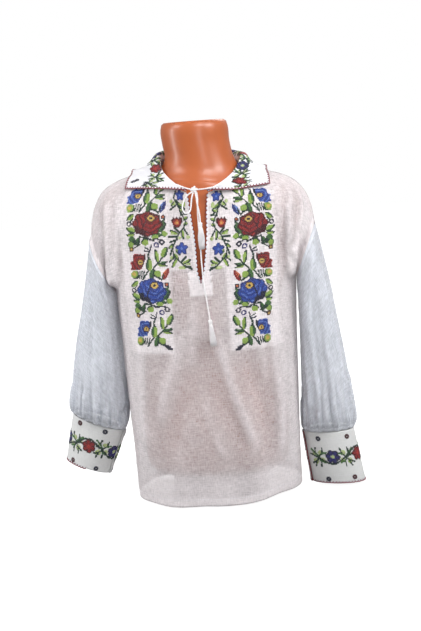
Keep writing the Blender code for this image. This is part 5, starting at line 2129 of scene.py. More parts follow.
@dataclass
class Embroidery:
    """All the cross-stitch of the shirt."""

    pitch: float = 1.65

    def build(self, pieces: dict[str, Cloth], made: dict[str, list[Piece]]) -> None:
        """Works every border.

        Args:
            pieces: the shirt's cut pieces.
            made: what goes with each cut piece, added to here.
        """
        needle = Needlework(self.pitch)
        front = pieces["front_panel"]
        tree = front.flat_tree()
        border, vine = RoseBorder(), SlitVine()
        right_border = between_lines((
            (519, 62, 139), (461, 60.5, 135.5), (406, 54, 129), (361, 52.5, 127), (311, 46.5, 120),
            (262, 47.5, 119),
        ), (522.5, 1.60), border.width)
        left_border = between_lines((
            (531, -133.6, -46.5), (475, -124, -45), (418, -122, -42), (371, -121.2, -40.5),
            (317, -116, -38.5), (267, -121, -41),
        ), (535.5, 1.64), border.width)
        right_vine = between_lines((
            (522, 28.5, 61), (468, 26.5, 60), (413, 21, 56.5), (392, 19.5, 54),
        ), (525, 1.58), vine.width)
        left_vine = between_lines((
            (529, -46, -15), (471, -47.3, -10), (415, -46.8, -7.5), (392, -46, -7),
        ), (530, 1.60), vine.width)
        for name, jobs in (
            ("right_rose_border", [(border.chart(False), right_border)]),
            ("left_rose_border", [(border.chart(True), left_border)]),
            ("slit_vines", [(vine.chart(False), right_vine), (vine.chart(True), left_vine)]),
        ):
            made["front_panel"].append(needle.work(name, front, tree, jobs, SHEER))
        for name, flowers, upper, lower, middle in (
            (
                "left_cuff", (58, 105, 152, 199), ((39, 10), (90, 10), (141, 9), (192, 9)),
                ((43, 83), (89, 84), (135, 84), (181, 83), (227, 83)), 43.5,
            ),
            (
                "right_cuff", (34, 82, 130, 178, 225), ((13, 8), (60, 8), (108, 8), (155, 8), (199, 8)),
                ((10, 76), (57, 76), (105, 76), (152, 76), (200, 76)), 41,
            ),
        ):
            made[name].append(self.work_cuff(needle, pieces[name], flowers, (upper, lower), middle))
        made["collar"].append(self.work_collar(needle, pieces["collar"]))

    def work_cuff(
        self, needle: Needlework, cuff: Cloth, flowers: Place, rings: Sequence[Sequence[Place]], middle: float
    ) -> Piece:
        """Works one cuff's vine and rings.

        Args:
            needle: the needlework.
            cuff: the cuff.
            flowers: each flower's place round the cuff, blue and red in turn.
            rings: the upper and the lower row of small rings, navy and wine in turn, each at its place
                round the cuff and down it.
            middle: how far down the vine runs.

        Returns:
            The stitches as one object.
        """
        pitch = self.pitch
        turn, depth = float(cuff.across.max()), float(cuff.along.max())
        dots = tuple(
            (place / pitch, down / pitch, Floss.WINE if number % 2 else Floss.NAVY)
            for row in rings
            for number, (place, down) in enumerate(row)
        )
        placed = tuple(
            (place / pitch, "red" if number % 2 else "blue") for number, place in enumerate(flowers)
        )
        vine = BandVine(placed, turn / pitch, int(depth / pitch), middle / pitch, dots)
        jobs = [(vine.chart(), lambda u, v: (u * pitch, v * pitch))]
        return needle.work(f"{cuff.name}_vine", cuff, cuff.flat_tree(), jobs, FIRM)

    def work_collar(self, needle: Needlework, collar: Cloth) -> Piece:
        """Works the collar's vine.

        Args:
            needle: the needlework.
            collar: the collar.

        Returns:
            The stitches as one object.
        """
        pitch, line_row = self.pitch, 20
        half = float(collar.across.max())
        flowers = tuple(
            ((19 + 46 * number + half) / pitch, "blue" if number % 2 else "red") for number in range(-4, 5)
        )
        tufts = tuple(((place + half) / pitch, line_row + down) for place, down in ((-211, 3), (200, 2)))
        dots = ((-208, 47.0), (-204, 46.0), (-211, 28.0))
        curl = tuple(((place + half) / pitch, row, Floss.NAVY) for place, row in dots)
        vine = BandVine(flowers, 2 * half / pitch, 58, line_row, curl, 7.0, tufts)

        def round_collar(u: float, v: float) -> tuple[float, float]:
            """The place of a square: the vine's line drops towards the collar's points.

            Args:
                u: the place across the chart.
                v: the place along it.

            Returns:
                The place on the flat map.
            """
            across = u * pitch - half
            line = float(np.interp(abs(across), (0, 120, 152, 170, 203, 214), (23, 22, 18, 23, 42, 60)))
            return across, line + (v - line_row) * pitch

        return needle.work("collar_vine", collar, collar.flat_tree(), [(vine.chart(), round_collar)], FIRM)


# ---------------------------------------------------------------------------------------------------
# The drawstring
# ---------------------------------------------------------------------------------------------------
@dataclass
class Tassel:
    """A tassel: a bound head and a skirt of strands, whose belly is wider at the foot with less flare."""

    name: str
    node: str
    top: Place
    seed: int
    flare: float
    strands: int = 120
    neck: float = 0.13
    head: tuple[float, ...] = (0.5, 1.7, 2.7, 3.15, 3.3, 3.1, 2.5, 2.35, 2.6, 2.8, 2.9, 2.6)
    binding: float = 2.75

    def make(self, finish: Material) -> Piece:
        """Makes the tassel.

        Args:
            finish: its material.

        Returns:
            The piece.
        """
        random = np.random.default_rng(self.seed)
        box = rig.box(self.node)
        top = askew(np.array([self.top], float))[0]
        middle = np.array([(box[0].x + box[1].x) / 2, (box[0].y + box[1].y) / 2]) / METRES
        foot = np.array([*middle, box[0].z / METRES])
        maker = MeshMaker(self.name)

        def axis(down: float) -> Grid:
            """The place on the tassel's axis at a share of the way down."""
            return np.array([*(top[:2] + (middle - top[:2]) * down), top[2] - (top[2] - foot[2]) * down])

        heights = np.linspace(-0.01, 0.17, len(self.head))
        maker.tube(np.array([axis(height) for height in heights]), np.array(self.head), 14)
        turn = np.linspace(0, 2 * math.pi, 21)
        coil = [self.binding * np.cos(turn), self.binding * np.sin(turn), 0.3 * turn / math.pi - 0.3]
        for wrap in range(4):
            maker.tube(axis(0.088 + 0.012 * wrap) + np.stack(coil, axis=1), 0.42, 5)
        start = axis(self.neck)
        for strand in range(self.strands):
            angle = GOLDEN_TURN * strand
            reach = math.sqrt((strand + 0.5) / self.strands)
            root, belly = 2.2 * reach, (2.5 + 0.7 * random.random()) * reach
            phase, bend = random.uniform(0, 6.28), random.uniform(0.15, 0.55)
            end = 0.985 - 0.11 * random.random() ** 2
            line = []
            for share in np.linspace(0, 1, 7):
                spread = root + belly * math.sin(self.flare * share)
                sway = bend * math.sin(3.2 * share * math.pi + phase) * share
                apart = [spread * math.cos(angle) + sway, spread * math.sin(angle) + sway * 0.6, 0]
                line.append(axis(self.neck + (end - self.neck) * share) + apart)
            line[0] = start + (line[0] - start) * 0.9
            maker.tube(np.array(line), 0.34, 4)
        return maker.finish([finish], "cotton_cord", self.node)


@dataclass
class Drawstring:
    """Two-ply twine run round the neck, tied in a half bow with two tasselled ends."""

    diameter: float = 2.6
    twist: float = 6.5
    knot: tuple[float, float, float] = (-3.0, -93.0, 529.0)
    neck: tuple[Place, ...] = (
        (38.5, -86.5, 537.5), (30, -89.5, 534.5), (19, -92, 531.6), (8, -93.4, 530), (-3.0, -93.0, 529.0),
        (-13, -93.3, 530.8), (-19, -92.3, 532.6), (-26, -90, 535.2), (-31, -87.5, 537),
    )
    loop: tuple[Place, ...] = (
        (-6, -95.4, 525.6), (-11.5, -97.4, 521.5), (-17.5, -98.8, 514), (-21.5, -99.8, 504),
        (-22.5, -100.8, 495), (-18.5, -101.8, 487.5), (-12, -101.6, 489), (-9, -100.6, 498),
        (-7.8, -99.2, 508), (-6.2, -97.4, 518), (-4.4, -95.6, 524.6),
    )
    short_tail: tuple[Place, ...] = (
        (-1.4, -94.8, 525), (0.2, -97.6, 516), (1.4, -100.6, 504), (3.4, -103.4, 492),
        (4.6, -105.8, 482), (4.9, -107.2, 472.3),
    )
    long_tail: tuple[Place, ...] = (
        (1, -94, 525.6), (1.8, -94.4, 514), (0.8, -95.2, 497.4), (0.4, -96.2, 473.4), (1.6, -98.6, 444.6),
        (4.6, -102.2, 415.8), (8.2, -106, 391.8), (10.4, -109.2, 372.6), (12.4, -111.2, 353.4),
        (14.6, -112.8, 334.2), (16.4, -114, 316.3),
    )

    def twine(self, name: str, line: Sequence[Place], finish: Material, *nodes: str) -> tuple[Piece, Grid]:
        """Makes one run of twine.

        Args:
            name: the piece's name.
            line: the points it runs through.
            finish: its material.
            *nodes: the plain solids that it stands for.

        Returns:
            The object and the path that it follows, in metres.
        """
        path = askew(even_steps(np.array(line), 0.9))
        run = travelled(path)
        turn = np.linspace(0, 2 * math.pi, 12, endpoint=False)
        lobes = 0.5 * self.diameter * (0.80 + 0.20 * np.abs(np.cos(turn)) ** 0.7)

        def section(index: int) -> Grid:
            """The two-lobed section, turned as far as the twist has come."""
            angle = turn + 2 * math.pi * run[index] / self.twist
            return np.stack([lobes * np.cos(angle), lobes * np.sin(angle)], axis=1)

        maker = MeshMaker(name)
        maker.sweep(path, section)
        return maker.finish([finish], "cotton_cord", *nodes), path * METRES

    def tie(self, finish: Material) -> Piece:
        """Makes the knot: three turns of twine drawn tight over one another.

        Args:
            finish: its finish.

        Returns:
            The piece.
        """
        centre = askew(np.array([self.knot]))[0]
        turn = np.linspace(0, 2 * math.pi, 33)
        maker = MeshMaker("bow_knot")
        for tilt, across_reach, depth_reach, shift in (
            (0.15, 5.0, 3.1, 0.2), (1.25, 4.1, 3.0, 0.9), (-0.9, 4.2, 2.9, -0.3),
        ):
            across, wave = across_reach * np.cos(turn), 0.7 * np.sin(2 * turn)
            x = across * math.cos(tilt) - wave * math.sin(tilt)
            z = across * math.sin(tilt) + wave * math.cos(tilt)
            ring = np.stack([x, depth_reach * np.sin(turn) * 0.72, z + shift], axis=1)
            maker.tube(centre + ring, 1.35, 8)
        return maker.finish([finish], "cotton_cord", "drawstring_knot")

    def build(self) -> None:
        """Makes every run, the knot and the tassels."""
        finish = TWINE.material()
        knot = self.tie(finish)
        short = Tassel("short_tassel", "tassel_short", self.short_tail[-1], 11, 2.4).make(finish)
        long = Tassel("long_tassel", "tassel_long", self.long_tail[-1], 12, 1.5).make(finish)
        for name, line, nodes, far_end, others in (
            ("neck_run", self.neck, ("drawstring_left", "drawstring_right"), "object", [knot]),
            ("bow_loop", self.loop, ("drawstring_loop",), "knot", []),
            ("short_end", self.short_tail, ("drawstring_short_tail",), "knot", [short]),
            ("long_end", self.long_tail, ("drawstring_long_tail",), "knot", [long]),
        ):
            piece, path = self.twine(name, line, finish, *nodes)
            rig.cord(
                piece, tuple(path[0]), float(travelled(path)[-1]), self.diameter * METRES, far_end,
                stiffness="limp", lay="hanging", path=path, with_pieces=others,
            )


# ---------------------------------------------------------------------------------------------------
# The shirt
# ---------------------------------------------------------------------------------------------------
FRONT_CREASES = (
    Crease(((24, 300), (31, 261), (40, 218), (52, 173), (69, 120), (80, 80)), 8.0, 4.2, 0.25),
    Crease(((6, 290), (13, 229), (26, 179), (45, 129), (61, 81)), 10.0, -3.2, 0.0),
    Crease(((-6, 190), (2, 150), (12, 112), (26, 76)), 7.0, 1.8, 0.1),
    Crease(((122, 300), (124, 217), (131, 165), (130, 114), (121, 58)), 8.0, 4.4, 0.3),
    Crease(((71, 280), (82, 210), (98, 158), (110, 105), (115, 61)), 11.0, -3.4, 0.0),
    Crease(((152, 300), (155, 220), (158, 150)), 8.0, -2.2, 0.0),
    Crease(((-30, 300), (-50, 240), (-70, 188), (-86, 130)), 11.0, 3.2, 0.2),
    Crease(((-13, 250), (-30, 198), (-50, 145), (-65, 91)), 11.0, -2.2, 0.0),
    Crease(((-112, 300), (-117, 240), (-122, 170), (-118, 90)), 10.0, 3.4, 0.3),
    Crease(((169, 534), (166, 513), (163, 486)), 4.0, -2.4, 0.0),
    Crease(((179, 534), (168, 497), (162, 458), (160, 418), (158, 350)), 5.0, 3.4, 0.4),
    Crease(((203, 532), (214, 503), (210, 472), (196, 452)), 5.0, 3.2, 0.4),
    Crease(((191, 530), (194, 492), (187, 462)), 5.0, -1.6, 0.0),
    Crease(((194, 456), (184, 432), (170, 416), (172, 398)), 5.0, 4.2, 0.6),
    Crease(((-152, 535), (-143, 491), (-147, 440), (-155, 393), (-150, 350)), 6.0, 3.0, -0.3),
    Crease(((-134, 532), (-129, 482), (-135, 432)), 5.0, -1.8, 0.0),
    Crease(((-174, 526), (-166, 477), (-168, 431), (-178, 405)), 5.0, 2.6, -0.3),
    Crease(((-176, 420), (-172, 396), (-160, 380)), 5.0, 3.2, -0.5),
    Crease(((-60, 334), (-30, 296), (10, 290), (40, 300)), 10.0, 0.9, 0.0),
    Crease(((-8, 352), (-14, 300), (-20, 240), (-34, 170)), 8.0, 2.0, 0.2),
    Crease(((86, 330), (96, 290), (104, 240), (106, 190)), 8.0, 2.2, 0.2),
    Ripple(26, 80, 1.1, 1.3),
    Ripple(15, 9, 0.55, 5.1),
    Ripple(6, 4.5, 0.22, 8.4),
)
BACK_CREASES = (
    Crease(((-100, 470), (-104, 430), (-98, 380), (-104, 320)), 6.0, 2.2),
    Crease(((100, 470), (102, 430), (108, 380), (104, 320)), 6.0, 2.2),
    Crease(((-50, 420), (-44, 360), (-48, 280), (-42, 200)), 9.0, 1.8),
    Crease(((50, 420), (46, 350), (52, 270), (44, 190)), 9.0, 1.8),
    Crease(((0, 380), (4, 300), (-2, 200), (3, 100)), 10.0, 1.6),
    Ripple(22, 70, 1.2, 2.3),
    Ripple(9, 22, 0.5, 6.1),
)


def gathers(turn: float, foot: Callable[[float], float], reach: float, seed: int) -> tuple[Crease, ...]:
    """Short uneven folds where a sleeve is gathered into its cuff.

    Args:
        turn: the sleeve's length around.
        foot: the sleeve's lower edge along the map at a place around it.
        reach: about how far up they run.
        seed: for their unevenness.

    Returns:
        The creases.
    """
    random = np.random.default_rng(seed)
    made, place = [], 9.0
    while place < turn - 9:
        top = foot(place) - reach * random.uniform(0.45, 1.0)
        drift = random.uniform(-3, 3)
        halfway = (place + drift * 0.4, (top + foot(place)) / 2)
        line = ((place + drift, top), halfway, (place, foot(place) + 5))
        made.append(Crease(line, random.uniform(2.1, 3.4), random.uniform(1.9, 3.9), 0.6))
        place += random.uniform(7.5, 13.5)
    return tuple(made)


LEFT_SLEEVE_CREASES = (
    Crease(((85, 14), (112, 37), (128, 67), (138, 110)), 6.0, 3.0, -0.4),
    Crease(((124, 14), (146, 34), (158, 70)), 5.0, -1.8, 0.0),
    Crease(((134, 190), (129, 237), (127, 300)), 4.5, 2.2, 0.5),
    Crease(((111, 150), (108, 212), (108, 255), (109, 318)), 4.5, 2.6, 0.5),
    Crease(((105, 175), (97, 242), (93, 325)), 4.0, 2.2, 0.5),
    Crease(((154, 130), (153, 184), (150, 240)), 5.0, 1.8, 0.4),
    Crease(((70, 50), (91, 110), (95, 180)), 8.0, 1.8, 0.2),
    Ripple(20, 70, 1.1, 3.3),
    Ripple(9, 14, 0.45, 7.1),
)
RIGHT_SLEEVE_CREASES = (
    Crease(((270, 15), (246, 42), (224, 66), (202, 103), (199, 150)), 7.0, -2.4, 0.0),
    Crease(((256, 14), (232, 48), (212, 84), (190, 130)), 7.0, 2.2, 0.2),
    Crease(((190, 200), (212, 226), (228, 258)), 3.2, -4.6, -0.7),
    Crease(((276, 200), (279, 244), (278, 290)), 4.5, 2.2, 0.5),
    Crease(((260, 165), (262, 217), (260, 285)), 4.5, 2.4, 0.5),
    Crease(((243, 170), (243, 210), (241, 262)), 4.5, 2.0, 0.5),
    Crease(((290, 80), (296, 140), (294, 220)), 8.0, 1.6, 0.2),
    Ripple(20, 70, 1.1, 4.3),
    Ripple(9, 14, 0.45, 6.6),
)


@dataclass
class ScallopEdge:
    """A scalloped edging: small white lobes, each outlined and tied down with a maroon thread."""

    pitch: float = 5.4
    depth: float = 1.4
    thread: float = 0.95
    tie: float = 1.3
    samples: int = 10

    @staticmethod
    def outward(cloth: Cloth, places: tuple[Grid, Grid], at: Grid, run: Grid, path: Grid, up: Grid) -> Grid:
        """The directions off the cloth along one of its edges.

        Args:
            cloth: the cloth.
            places: the edge's rows and columns.
            at: the distances along the edge of the path's points.
            run: the distances along the edge of its own points.
            path: the path's points.
            up: the cloth's normals along the path.

        Returns:
            One direction for each point of the path.
        """
        padded = np.pad(np.gradient(path, axis=0), ((2, 2), (0, 0)), mode="edge")
        kernel = np.ones(5) / 5
        ahead = np.stack([np.convolve(padded[:, axis], kernel, "valid") for axis in range(3)], axis=1)
        out = unit(np.cross(unit(ahead), up))
        row, column = places
        if cloth.slit_row is None:
            row = np.clip(row, 2, cloth.points.shape[0] - 3)
        else:
            column = np.where(column <= cloth.middle, column - 2, column + 2)
        inside = cloth.points[row, column] - cloth.points[places]
        return -out if np.sum(read_along(at, run, inside) * out) > 0 else out

    def work(
        self,
        name: str,
        cloth: Cloth,
        edges: Sequence[Sequence[tuple[int, int]]],
        middle: float,
        slot_name: str,
    ) -> Piece:
        """Works the edging along a cloth's edges.

        Args:
            name: the piece's name.
            cloth: the cloth.
            edges: each edge as the cloth's rows and columns, in turn.
            middle: how far the cloth's middle lies under its outer face.
            slot_name: the record's slot of the cloth.

        Returns:
            The edging as one object.
        """
        maker = MeshMaker(name)
        for edge in edges:
            places = tuple(np.array(edge).T)
            line, normals = cloth.points[places], cloth.normals[places]
            run = travelled(line)
            lobes = max(2, round(run[-1] / self.pitch))
            at = np.linspace(0, run[-1], lobes * self.samples + 1)
            path, up = read_along(at, run, line), unit(read_along(at, run, normals))
            out = self.outward(cloth, places, at, run, path, up)
            flip = np.sign(np.sum(np.cross(np.gradient(path, axis=0), up) * out))
            width = 0.35 + self.depth * np.abs(np.sin(np.pi * at / run[-1] * lobes)) ** 0.6
            base = path - up * middle

            def section(index: int) -> Grid:
                """The lobe's section at a point, from under the cloth's edge outward.

                Args:
                    index: the section's number.

                Returns:
                    The section.
                """
                low, high = -0.9 * flip, width[index] * flip
                outline = np.array([(low, -0.4), (high, -0.3), (high, 0.3), (low, 0.55)])
                return outline if flip > 0 else outline[::-1]

            maker.sweep(base, section, up, 0)
            maker.tube(base + out * (width[:, None] + 0.1) + up * 0.15, self.thread, 5, 1)
            for index in range(0, len(path), self.samples) if self.tie else ():
                start = base[index] + out[index] * 0.5 + up[index] * 0.45
                end = base[index] - out[index] * self.tie + up[index] * (middle + 0.2)
                bent = np.array([start, (start + end) / 2 + up[index] * 0.2, end])
                maker.tube(bent, self.thread * 0.85, 5, 1)
        return maker.finish([DOUBLED_COTTON[0], FLOSSES[Floss.MAROON.number]], slot_name)


def on_map(cloth: Cloth, line: Sequence[Place]) -> tuple[Grid, Grid]:
    """A line drawn on a cloth's flat map, as points and normals on its face.

    Args:
        cloth: the cloth.
        line: the line's points on the map.

    Returns:
        The points and the normals.
    """
    tree = cloth.flat_tree()
    flat = even_steps(np.array([(across, along, 0.0) for across, along in line]), 1.5)
    spots = [cloth.place(tree, float(across), float(along)) for across, along, _ in flat]
    spots = [spot for spot in spots if spot is not None]
    return np.array([spot[0] for spot in spots]), np.array([spot[3] for spot in spots])


@dataclass
class LaidThread:
    """Thread on a cloth's face: a row of running stitches, or one run where the stitch is nothing."""

    radius: float = 0.24
    stitch: float = 2.2
    gap: float = 1.3

    def work(self, name: str, runs: Sequence[tuple[Grid, Grid]], finish: Material, slot_name: str) -> Piece:
        """Works the thread along its runs.

        Args:
            name: the piece's name.
            runs: each run's points and normals on the cloth's face.
            finish: the thread's material.
            slot_name: the record's slot of the cloth.

        Returns:
            The thread as one object.
        """
        maker = MeshMaker(name)
        for points, normals in runs:
            run = travelled(points)
            if self.stitch:
                starts = np.arange(0.5, run[-1] - self.stitch, self.stitch + self.gap)
                parts = [np.linspace(start, start + self.stitch, 4) for start in starts]
                rise, sides = self.radius * np.array([-0.6, 0.7, 0.7, -0.6]), 4
            else:
                parts = [np.linspace(0, run[-1], int(run[-1]) + 2)]
                rise, sides = np.full(len(parts[0]), 0.3 * self.radius), 6
            for at in parts:
                path, up = read_along(at, run, points), unit(read_along(at, run, normals))
                maker.tube(path + up * rise[:, None], self.radius, sides)
        return maker.finish([finish], slot_name)


ONE_PLY = 0.45
TWO_PLY = 1.0


@dataclass(frozen=True)
class CutPiece:
    """One cut piece: its solid, its cotton, how it is held and on what, and its size laid flat in metres."""

    name: str
    node: str
    finish: CottonFinish
    held: str
    rests_on: tuple[str, ...]
    flat: tuple[float, float]
    area: float | None = None
    thickness: float = ONE_PLY
    piece_name: str | None = None

    @property
    def slot_name(self) -> str:
        """The record's slot of its cotton."""
        return SHEER if self.finish.cover < 1 else FIRM


CUT_PIECES = (
    CutPiece("front_panel", "shirt_front", BODY_VOILE, "draped", ("torso",), (0.50, 0.60), 0.25),
    CutPiece("back_panel", "shirt_back", BODY_VOILE, "draped", ("torso",), (0.50, 0.60), 0.25),
    CutPiece("left_sleeve", "sleeve_left", SLEEVE_VOILE, "hung", ("front_panel",), (0.30, 0.36), 0.10),
    CutPiece("right_sleeve", "sleeve_right", SLEEVE_VOILE, "hung", ("front_panel",), (0.31, 0.31), 0.09),
    CutPiece("left_cuff", "cuff_left", CUFF, "gathered", ("left_sleeve",), (0.24, 0.092), None, TWO_PLY),
    CutPiece("right_cuff", "cuff_right", CUFF, "gathered", ("right_sleeve",), (0.24, 0.082), None, TWO_PLY),
    CutPiece(
        "collar", "collar", DOUBLED, "folded", ("front_panel", "back_panel"), (0.44, 0.11), 0.04, TWO_PLY,
        "turned_collar",
    ),
    CutPiece(
        "slit_facing", "slit_facing", DOUBLED, "laid", ("front_panel",), (0.038, 0.044), None, ONE_PLY,
        "facing_patch",
    ),
)


def sides_apart(cloth: Cloth) -> Grid:
    """How far each place lies from the nearer side of a piece."""
    across = cloth.across
    return np.minimum(np.abs(across - across[:, :1]), np.abs(across[:, -1:] - across))


def ends_apart(cloth: Cloth) -> Grid:
    """How far each place lies from the nearer of a piece's first and last rows."""
    along = cloth.along
    return np.minimum(np.abs(along - along[:1]), np.abs(along[-1:] - along))


def outer_edge(cloth: Cloth, first_row: int) -> list[tuple[int, int]]:
    """A piece's rows and columns down one side, along its last row and up the other side.

    Args:
        cloth: the piece.
        first_row: the row that the edge starts at.

    Returns:
        The rows and columns of the edge in turn.
    """
    rows, columns = cloth.points.shape[:2]
    return (
        [(row, 0) for row in range(first_row, rows)]
        + [(rows - 1, column) for column in range(1, columns)]
        + [(row, columns - 1) for row in range(rows - 2, first_row - 1, -1)]
    )


@dataclass(frozen=True)
class Cover:
    """How closely the cloth covers where it is turned in or worked, with more cover as painted light on the front's
    sides and upper chest and as painted shade at its foot.
    """

    turned: float = 0.85
    # The upper middle of the front made more opaque and so lighter: a painted light from above.
    yoke: float = 0.66
    ground: float = 0.8
    # The front's lower part made more opaque and greyer: a painted shade for the shadow inside the shirt's foot.
    low: float = 0.5
    # The front's sides made more opaque and so lighter: a painted light.
    loose: float = 0.22
    sleeve: float = 0.12


@dataclass
class Shirt:
    """The cotton pieces of the shirt, cut and sewn."""

    wall: float = 1.2
    doubled_wall: float = 1.8
    room: float = 0.8
    hem: float = 12.0
    seam: float = 8.0
    gather_reach: float = 105.0
    tuck: tuple[float, float] = (0.25, 7.0)
    facing_rows: tuple[float, float] = (352.0, 396.0)
    facing_half: float = 19.0
    cover: Cover = field(default_factory=Cover)
    pieces: dict[str, Cloth] = field(default_factory=dict)
    shells: dict[str, Piece] = field(default_factory=dict)

    def cut(self) -> None:
        """Reads every piece's face from its solid."""
        wall, doubled, middle = self.wall, self.doubled_wall, away_from_middle
        front, back = (
            read_body_panel(node, wall, columns, 18, slit_row)
            for node, columns, slit_row in (("shirt_front", 36, 8), ("shirt_back", 23, None))
        )
        self.pieces = {
            "front_panel": Cloth("front_panel", front, 3.0, slit_row=8),
            "back_panel": Cloth("back_panel", back, 4.0),
        }
        for side in ("left", "right"):
            name = f"{side}_sleeve"
            self.pieces[name] = Cloth(name, read_rings(f"sleeve_{side}", wall), 3.0, True, outward=middle)
        for side in ("left", "right"):
            name = f"{side}_cuff"
            band = read_band(f"cuff_{side}", doubled, 36, 4, middle)
            self.pieces[name] = Cloth(name, band, 2.5, outward=middle)
        collar = read_band("collar", doubled, 45, 7, away_from_body)[:, ::-1]
        self.pieces["collar"] = Cloth("collar", collar, 2.5)

    def drape(self, inner: BVHTree) -> None:
        """Gives the pieces their creases and keeps them off the form.

        Args:
            inner: the form's surface.
        """
        for name, creases in (("front_panel", FRONT_CREASES), ("back_panel", BACK_CREASES)):
            cloth = self.pieces[name]
            cloth.crease(creases, self.held_edges(cloth, 10))
            cloth.clear(inner, self.room)
        for name, creases in (("left_sleeve", LEFT_SLEEVE_CREASES), ("right_sleeve", RIGHT_SLEEVE_CREASES)):
            cloth = self.pieces[name]
            cloth.crease(creases, self.held_edges(cloth, 12))
            foot = partial(np.interp, xp=cloth.across[-1], fp=cloth.along[-1])
            folds = gathers(float(cloth.across.max()), foot, self.gather_reach, len(name))
            cloth.crease(folds, self.held_edges(cloth, 4))
            depth, reach = self.tuck
            tucked = depth * np.clip(1 - (cloth.along[-1:] - cloth.along) / reach, 0, 1)
            cloth.points = cloth.points - cloth.normals * tucked[..., None]
        collar = self.pieces["collar"]
        collar.crease((Ripple(40, 30, 0.5, 9.0),), self.held_edges(collar, 8))

    @staticmethod
    def held_edges(cloth: Cloth, reach: float) -> Grid:
        """A mask that falls to nothing at the sewn edges.

        Args:
            cloth: the piece.
            reach: how far from an edge it is full.

        Returns:
            The mask.
        """
        near = ends_apart(cloth)
        if not cloth.closed:
            near = np.minimum(near, sides_apart(cloth))
        if cloth.slit_row is not None:
            above = slice(cloth.foot, None)
            for column in (cloth.middle, cloth.middle + 1):
                edge = cloth.across[above, column : column + 1]
                near[above] = np.minimum(near[above], np.abs(cloth.across[above] - edge))
        return np.clip(near / reach, 0, 1)

    def front_cover(self, cloth: Cloth) -> list[Grid]:
        """The front's cover at its slit, upper chest, worked ground, foot, sides and facing, with painted light on the
        upper chest and sides and painted shade at the foot.

        Args:
            cloth: the front.

        Returns:
            A mask for each.
        """
        across, along, cover = cloth.across, cloth.along, self.cover
        off, rise = np.abs(across), along - along[0]
        slit = across[cloth.foot, cloth.middle]
        turned = [
            (np.abs(across - across[:, column : column + 1]) < 3) & (along > along[cloth.foot, cloth.middle])
            for column in (cloth.middle, cloth.middle + 1)
        ]
        return [
            *turned,
            # Painted light: the upper chest made more opaque and so lighter.
            cover.yoke * (fade(along - 395, 4) * fade(60 - np.abs(across - 4), 10)),
            cover.ground * (fade(along - 258, 8) * fade(143 - off, 12) * fade(off - 42, 8)),
            # Painted shade: the lower front made more opaque so it reads grey like the shaded inside.
            cover.low * fade(62 - rise, 22),
            # Painted light: the sides made more opaque so they read lighter.
            cover.loose * fade(off - 108, 30),
            (np.abs(across - slit) < 18) & (along > 353) & (along < 395),
        ]

    def mark_doubled(self) -> None:
        """Marks where the cloth is turned in or worked, and where its cover is raised as painted light and shade."""
        for name in ("front_panel", "back_panel"):
            cloth = self.pieces[name]
            turned = (cloth.along - cloth.along[0] < self.hem) | (sides_apart(cloth) < self.seam)
            cloth.doubled = self.cover.turned * turned
            if cloth.slit_row is not None:
                cloth.doubled = np.maximum.reduce([cloth.doubled, *self.front_cover(cloth)])
        for name in ("left_sleeve", "right_sleeve"):
            cloth = self.pieces[name]
            turned = self.cover.turned * (ends_apart(cloth) < self.seam)
            cloth.doubled = np.maximum(self.cover.sleeve, turned)

    def facing(self) -> Cloth:
        """Cuts the doubled patch behind the slit's end, to lie behind the front.

        Returns:
            The cloth.
        """
        front = self.pieces["front_panel"]
        patch = copy.copy(front)
        level = front.along[:, front.middle]
        rows = np.flatnonzero((level > self.facing_rows[0]) & (level < self.facing_rows[1]))
        from_slit = front.across[front.foot] - front.across[front.foot, front.middle]
        columns = np.flatnonzero(np.abs(from_slit) < self.facing_half)
        part = np.ix_(rows, columns)
        patch.name = "slit_facing"
        patch.normals = front.normals[part]
        patch.points = front.points[part] - patch.normals * self.room
        patch.across, patch.along = front.across[part], front.along[part]
        patch.doubled, patch.lifted = np.zeros(patch.across.shape), np.zeros(patch.across.shape)
        patch.foot, patch.middle = front.foot - rows[0], front.middle - columns[0]
        return patch

    def sew(self) -> None:
        """Makes the thin shells."""
        materials = {finish.name: finish.material() for finish in (BODY_VOILE, SLEEVE_VOILE, DOUBLED, CUFF)}
        DOUBLED_COTTON.append(materials[DOUBLED.name])
        self.pieces["slit_facing"] = self.facing()
        for cut in CUT_PIECES:
            material = materials[cut.finish.name]
            shell = partial(self.pieces[cut.name].shell, cut.piece_name or cut.name)
            self.shells[cut.name] = shell(cut.thickness, material, cut.slot_name, cut.node)

    def declare(self, extra: dict[str, list[Piece]]) -> None:
        """Declares every cut piece as a sheet.

        Args:
            extra: the embroidery and edging that goes with each piece.
        """
        for cut in CUT_PIECES:
            worked = extra.get(cut.name, [])
            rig.sheet(self.shells[cut.name], cut.flat, cut.held, cut.rests_on, cut.area, worked)

    def edge(self) -> dict[str, list[Piece]]:
        """Works the scalloped edgings of the collar, the slit and the cuffs.

        Returns:
            Each cut piece's edging.
        """
        collar, front, right_cuff = (self.pieces[name] for name in ("collar", "front_panel", "right_cuff"))
        slit = range(front.foot, front.points.shape[0] - 1)
        slit_edges = [[(row, column) for row in slit] for column in (front.middle, front.middle + 1)]
        foot = right_cuff.points.shape[0] - 1
        seam, reach = OPENING_EDGE
        opening = [(foot, column) for column in np.flatnonzero(np.abs(right_cuff.across[-1] - seam) < reach)]
        wide, narrow = ScallopEdge(), ScallopEdge(6.8, 2.5, 0.6, 0.0)
        made = {}
        for cut, title, edging, edges in (
            (CUT_PIECES[6], "collar_edging", wide, [outer_edge(collar, 2)]),
            (CUT_PIECES[0], "slit_edging", narrow, slit_edges),
            (CUT_PIECES[4], "left_cuff_edging", wide, [outer_edge(self.pieces["left_cuff"], 0)]),
            (CUT_PIECES[5], "right_cuff_edging", wide, [opening]),
        ):
            made[cut.name] = [
                edging.work(title, self.pieces[cut.name], edges, cut.thickness / 2, cut.slot_name)
            ]
        return made

